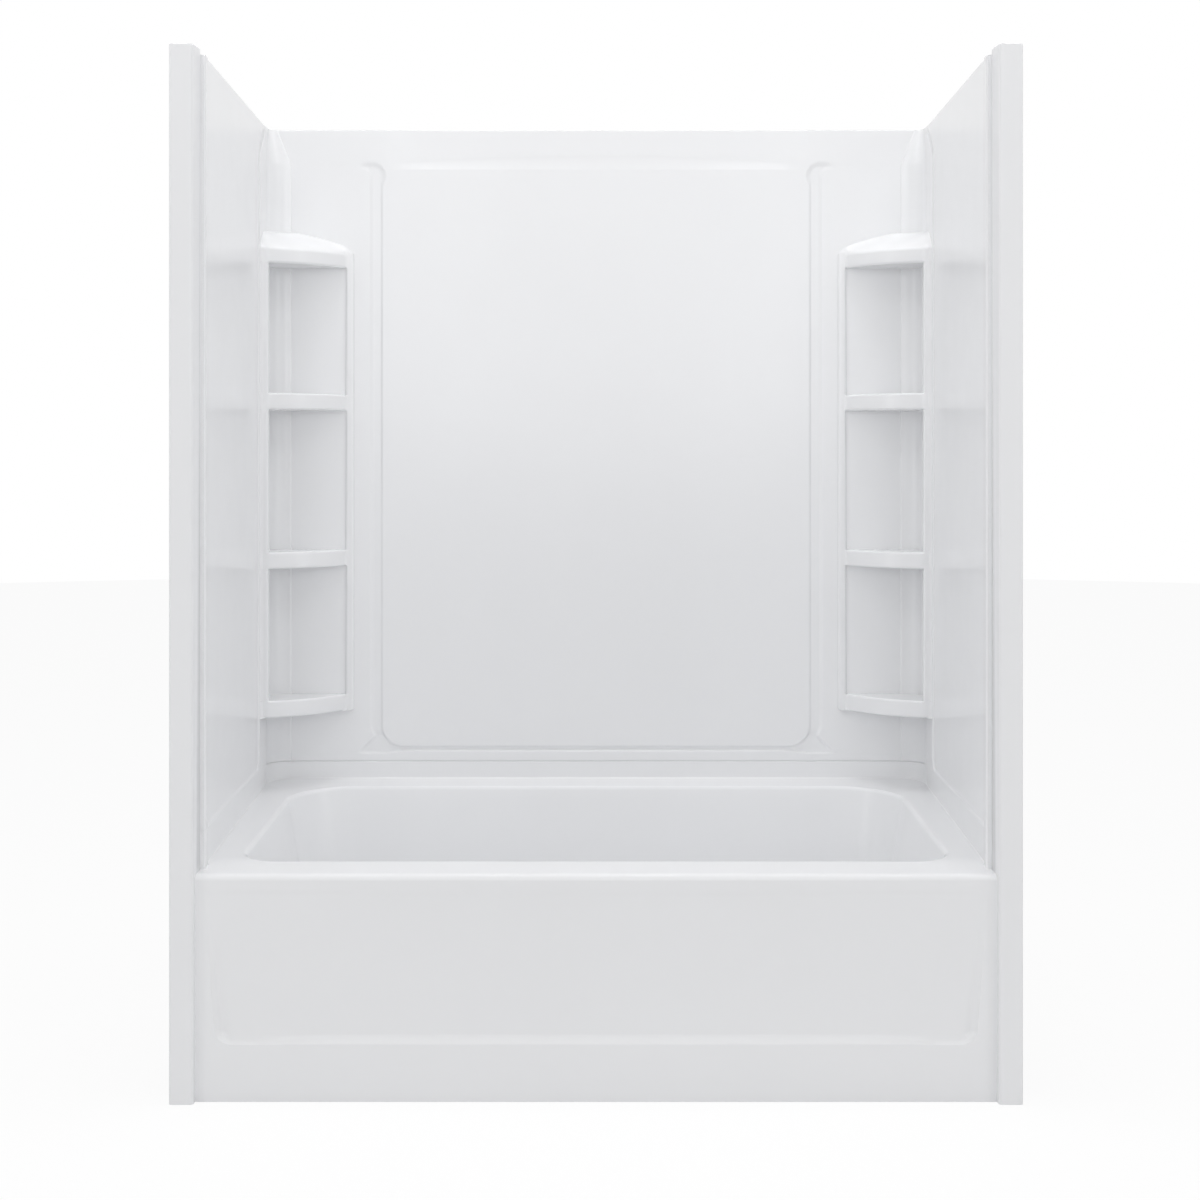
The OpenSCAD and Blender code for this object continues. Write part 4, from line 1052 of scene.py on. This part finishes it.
class BathKitSizes(bpy.types.PropertyGroup):
    """Sizes and colours of the moulded surfaces"""
    shell_colour: FloatVectorProperty(
        name="Shell colour", description="Colour of the white gloss mouldings",
        subtype="COLOR", size=3, min=0, max=1, default=(0.925, 0.930, 0.943))
    rim_round: FloatProperty(
        name="Rim rounding", description="Radius between the deck and the basin",
        default=0.010, unit="LENGTH")
    floor_round: FloatProperty(
        name="Floor rounding", description="Radius between the basin's sides and its floor",
        default=0.080, unit="LENGTH")
    foot_round: FloatProperty(
        name="Foot rounding", description="Radius between the deck and the upstand",
        default=FOOT_R, unit="LENGTH")
    edge_round: FloatProperty(
        name="Joint rounding", description="Radius along the joint of the bath and the walls",
        default=0.003, unit="LENGTH")
    top_round: FloatProperty(
        name="Top rounding", description="Radius along the top of the walls",
        default=0.0025, unit="LENGTH")
    recess_round: FloatProperty(
        name="Recess corner", description="Radius of the apron recess's lower corners",
        default=0.026, unit="LENGTH")
    recess_depth: FloatProperty(
        name="Recess depth", description="Depth of the apron's recess at its foot",
        default=0.011, unit="LENGTH")
    recess_slope: FloatProperty(
        name="Recess slope", description="Width of the sloping border of the apron's recess",
        default=0.016, unit="LENGTH")
    seam_step: FloatProperty(
        name="Seam step", description="How far an end wall's edge stands on the back wall",
        default=0.003, unit="LENGTH")
    seam_round: FloatProperty(
        name="Seam rounding", description="Radius along the edge of an end wall at the seam",
        default=0.0040, unit="LENGTH")
    frieze: FloatProperty(
        name="Smooth band", description="Height of the smooth band along the top of the walls",
        default=0.089, unit="LENGTH")
    end_border_rise: FloatProperty(
        name="End border rise", description="Height of the border round an end wall's face",
        default=0.0025, unit="LENGTH")
    end_border_slope: FloatProperty(
        name="End border slope", description="Width of that border's slope",
        default=0.005, unit="LENGTH")
    end_border_round: FloatProperty(
        name="End border corner", description="Radius of the border's lower corner",
        default=0.030, unit="LENGTH")
    centre_width: FloatProperty(
        name="Centre panel width", description="Width of the back wall's centre panel",
        default=0.952, unit="LENGTH")
    groove_width: FloatProperty(
        name="Groove width", description="Width of the upright grooves",
        default=0.026, unit="LENGTH")
    groove_slope: FloatProperty(
        name="Groove outer slope", description="Width of the side panels' soft borders",
        default=0.010, unit="LENGTH")
    panel_edge: FloatProperty(
        name="Centre panel edge", description="Width of the centre panel's border",
        default=0.005, unit="LENGTH")
    side_panel_round: FloatProperty(
        name="Side panel corner", description="Radius of the side panels' inner corners",
        default=0.034, unit="LENGTH")
    centre_round: FloatProperty(
        name="Centre panel corner", description="Radius of the centre panel's lower corners",
        default=0.045, unit="LENGTH")
    ledge_height: FloatProperty(
        name="Curved ledge", description="Height of the curved ledge over the centre panel",
        default=0.033, unit="LENGTH")
    column_round: FloatProperty(
        name="Column corner", description="Radius of the columns' front corners",
        default=0.005, unit="LENGTH")
    shelf_round: FloatProperty(
        name="Shelf edge", description="Radius of the shelf and stile edges",
        default=0.005, unit="LENGTH")
    cap_rise: FloatProperty(
        name="Cap rise", description="Rise of a tower's cap from its front edge to the corner",
        default=0.048, unit="LENGTH")
    front_power: FloatProperty(
        name="Front lamp power", description="Power of the large lamp high in front",
        default=5.0, unit="POWER")
    strip_power: FloatProperty(
        name="Strip lamp power", description="Power of each narrow lamp beside the camera",
        default=0.9, unit="POWER")
    side_power: FloatProperty(
        name="Side lamp power", description="Power of each tall lamp at the sides",
        default=4.4, unit="POWER")
    over_power: FloatProperty(
        name="Inner lamp power", description="Power of the lamp close over the alcove",
        default=5.0, unit="POWER")
    back_power: FloatProperty(
        name="Back lamp power", description="Power of the wide lamp above and behind",
        default=9.0, unit="POWER")
    edge_power: FloatProperty(
        name="Edge lamp power", description="Power of the long lamp that draws the top edges",
        default=2.0, unit="POWER")
    far_power: FloatProperty(
        name="Far lamp power", description="Power of the lamp high over the alcove",
        default=32.0, min=0.0, unit="POWER")
    facing_power: FloatProperty(
        name="Facing lamp power", description="Power of the large lamp behind the camera",
        default=34.0, min=0.0, unit="POWER")
    throat_power: FloatProperty(
        name="Throat lamp power", description="Power of each lamp at the top of the opening",
        default=4.5, min=0.0, unit="POWER")
    sky_level: FloatProperty(
        name="Sky level", description="Strength of the surroundings' light", default=0.545)


# Maker and colour of each finish; the shell's colour comes from the panel
FINISHES = {
    "gloss_shell": (gloss_shell, None),
    "polished_chrome": (polished_chrome, (0.80, 0.81, 0.83)),
    "waste_plastic": (waste_plastic, (0.80, 0.80, 0.77)),
    "black_rubber": (black_rubber, (0.030, 0.030, 0.034)),
    "zinc_steel": (zinc_steel, (0.62, 0.63, 0.66)),
    "beaded_foam": (beaded_foam, (0.80, 0.83, 0.86)),
    "sawn_timber": (sawn_timber, (0.62, 0.44, 0.26)),
}
made_finishes = {}


def finish_of(context, name):
    """The material of that name, made when it is first asked for"""
    if name not in made_finishes:
        make, colour = FINISHES[name]
        made_finishes[name] = make(colour or tuple(context.scene.bath_kit.shell_colour))
    return made_finishes[name]


class BATHKIT_OT_stage(bpy.types.Operator):
    """Camera, lamps, surroundings and floor"""
    bl_idname = "bathkit.stage"
    bl_label = "Stage"

    def execute(self, context):
        scene = context.scene
        kit = scene.bath_kit
        data = bpy.data.cameras.new("view")
        camera = bpy.data.objects.new("view", data)
        scene.collection.objects.link(camera)
        camera.location = EYE
        camera.rotation_euler = (math.pi / 2, 0, 0)
        data.sensor_width = 36.0
        data.lens = data.sensor_width * FOCAL_PX / FRAME_PX
        data.shift_x = 0.5 - EYE_PX[0] / FRAME_PX
        data.shift_y = EYE_PX[1] / FRAME_PX - 0.5
        data.clip_end = 100
        scene.camera = camera
        scene.view_settings.view_transform = "Standard"
        world = bpy.data.worlds.new("surroundings")
        scene.world = world
        world.use_nodes = True
        tree = world.node_tree
        back = tree.nodes["Background"]
        back.inputs["Color"].default_value = (1, 1, 1, 1)
        rays = tree.nodes.new("ShaderNodeLightPath")
        seen = reckon(tree, "MAXIMUM", rays.outputs["Is Camera Ray"],
                      rays.outputs["Is Glossy Ray"])
        clear = reckon(tree, "MAXIMUM", seen, rays.outputs["Is Transmission Ray"])
        level = add_node(tree, "ShaderNodeMapRange", **{"To Min": kit.sky_level, "To Max": 1.0})
        tree.links.new(clear, level.inputs["Value"])
        tree.links.new(level.outputs["Result"], back.inputs["Strength"])
        lamps = [
            ("front_lamp", (0.0, -3.4, 5.0), (0.0, 0.2, 1.0), 3.0, 1.2, kit.front_power),
            ("left_strip", (-1.5, -3.5, 1.3), (-0.2, 0.0, 1.2), 0.08, 2.5, kit.strip_power),
            ("right_strip", (1.5, -3.5, 1.3), (0.2, 0.0, 1.2), 0.08, 2.5, kit.strip_power),
            ("left_side", (-2.3, -1.6, 1.4), (0.5, 0.0, 1.1), 0.26, 2.2, kit.side_power),
            ("right_side", (2.3, -1.6, 1.4), (-0.5, 0.0, 1.1), 0.26, 2.2, kit.side_power),
            ("inner_lamp", (0.0, -0.1, 4.2), (0.0, -0.05, 0.4), 1.1, 0.5, kit.over_power),
            ("back_lamp", (0.0, 0.15, 4.6), (0.0, 0.1, 0.4), 2.6, 0.8, kit.back_power),
            ("edge_lamp", (0.0, -2.2, 3.6), (0.0, 0.1, 0.6), 2.6, 0.35, kit.edge_power),
            ("far_lamp", (0.0, -0.1, 9.0), (0.0, -0.1, 0.0), 2.0, 0.8, kit.far_power),
            ("facing_lamp", (0.0, -6.5, 2.2), (0.0, 0.0, 1.0), 3.0, 2.0, kit.facing_power),
            ("left_throat", (-0.9, -0.65, 3.0), (0.6, 0.1, 1.0), 0.3, 1.0, kit.throat_power),
            ("right_throat", (0.9, -0.65, 3.0), (-0.6, 0.1, 1.0), 0.3, 1.0, kit.throat_power),
        ]
        for name, place, aim, wide, high, power in lamps:
            light = bpy.data.lights.new(name, "AREA")
            light.shape = "RECTANGLE"
            light.size = wide
            light.size_y = high
            light.energy = power
            lamp = bpy.data.objects.new(name, light)
            lamp.location = place
            turn = (Vector(aim) - Vector(place)).to_track_quat("-Z", "Y")
            lamp.rotation_euler = turn.to_euler()
            scene.collection.objects.link(lamp)
        bm = bmesh.new()
        bmesh.ops.create_circle(bm, cap_ends=True, segments=96, radius=FLOOR_RADIUS)
        bmesh.ops.translate(bm, vec=(0, 0, -GAP), verts=bm.verts[:])
        mesh = bpy.data.meshes.new("studio_floor")
        bm.to_mesh(mesh)
        bm.free()
        floor = bpy.data.objects.new("studio_floor", mesh)
        scene.collection.objects.link(floor)
        mesh.materials.append(white_floor())
        return {"FINISHED"}


class BATHKIT_OT_bath(bpy.types.Operator):
    """Bath shell with basin, deck, apron and upstand"""
    bl_idname = "bathkit.bath"
    bl_label = "Bath shell"

    def execute(self, context):
        set_piece(bath_shell(context.scene.bath_kit), "bath_moulding", "white_shell",
                  finish_of(context, "gloss_shell"), stands_for=["bath"], wall=BATH_SHEET)
        return {"FINISHED"}


class BATHKIT_OT_back_wall(bpy.types.Operator):
    """Back wall with its panels, rail and curved ledge"""
    bl_idname = "bathkit.back_wall"
    bl_label = "Back wall"

    def execute(self, context):
        set_piece(back_wall_skin(context.scene.bath_kit), "back_wall_moulding", "white_shell",
                  finish_of(context, "gloss_shell"), stands_for=["back_wall"], wall=BACK_SHEET,
                  sharp=80)
        return {"FINISHED"}


class BATHKIT_OT_end_walls(bpy.types.Operator):
    """Two end walls with their raised borders and hollow corners"""
    bl_idname = "bathkit.end_walls"
    bl_label = "End walls"

    def execute(self, context):
        set_pair(context, end_wall_skin, "_end_wall_moulding", "_end_wall", wall=END_SHEET,
                 sharp=60)
        return {"FINISHED"}


class BATHKIT_OT_columns(bpy.types.Operator):
    """Two front columns"""
    bl_idname = "bathkit.columns"
    bl_label = "Front columns"

    def execute(self, context):
        set_pair(context, column_skin, "_front_column", "_column", wall=COLUMN_SHEET)
        return {"FINISHED"}


class BATHKIT_OT_towers(bpy.types.Operator):
    """Two corner shelf towers"""
    bl_idname = "bathkit.towers"
    bl_label = "Shelf towers"

    def execute(self, context):
        set_pair(context, tower_skin, "_corner_shelves", "_shelf_tower")
        return {"FINISHED"}


class BATHKIT_OT_fittings(bpy.types.Operator):
    """Drain, overflow, waste pipes, supports and fixings"""
    bl_idname = "bathkit.fittings"
    bl_label = "Fittings and supports"

    def execute(self, context):
        give = {
            "polished_chrome": ["drain_flange_body", "overflow_plate", "overflow_screws",
                                "stopper_cap"],
            "waste_plastic": ["drain_shoe", "shoe_pipe", "waste_tee", "tailpiece",
                              "overflow_pipe", "overflow_elbow", "slip_nuts"],
            "black_rubber": ["drain_gasket", "overflow_gasket", "slip_washers",
                             "stopper_gasket"],
            "zinc_steel": ["left_column_clips", "right_column_clips", "left_column_screws",
                           "right_column_screws", "left_tower_screws", "right_tower_screws",
                           "stopper_post"],
            "beaded_foam": ["basin_pads"],
            "sawn_timber": ["apron_brace", "rim_batten"],
        }
        for name, nodes in give.items():
            for node in nodes:
                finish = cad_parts[node].data.materials
                finish.clear()
                finish.append(finish_of(context, name))
        return {"FINISHED"}


class BATHKIT_PT_panel(bpy.types.Panel):
    """Lists the pieces of the bath and their sizes"""
    bl_idname = "BATHKIT_PT_panel"
    bl_label = "Alcove bath"
    bl_space_type = "VIEW_3D"
    bl_region_type = "UI"
    bl_category = "Bath"

    def draw(self, context):
        for operator in OPERATORS:
            self.layout.operator(operator.bl_idname)
        kit = context.scene.bath_kit
        for name in BathKitSizes.__annotations__:
            self.layout.prop(kit, name)


OPERATORS = (BATHKIT_OT_stage, BATHKIT_OT_bath, BATHKIT_OT_back_wall, BATHKIT_OT_end_walls,
             BATHKIT_OT_columns, BATHKIT_OT_towers, BATHKIT_OT_fittings)
CLASSES = (BathKitSizes,) + OPERATORS + (BATHKIT_PT_panel,)


def register():
    for item in CLASSES:
        bpy.utils.register_class(item)
    bpy.types.Scene.bath_kit = PointerProperty(type=BathKitSizes)


def unregister():
    del bpy.types.Scene.bath_kit
    for item in reversed(CLASSES):
        bpy.utils.unregister_class(item)


def main():
    register()
    bpy.ops.bathkit.stage()
    bpy.ops.bathkit.bath()
    bpy.ops.bathkit.back_wall()
    bpy.ops.bathkit.end_walls()
    bpy.ops.bathkit.columns()
    bpy.ops.bathkit.towers()
    bpy.ops.bathkit.fittings()


if __name__ == "__main__":
    main()
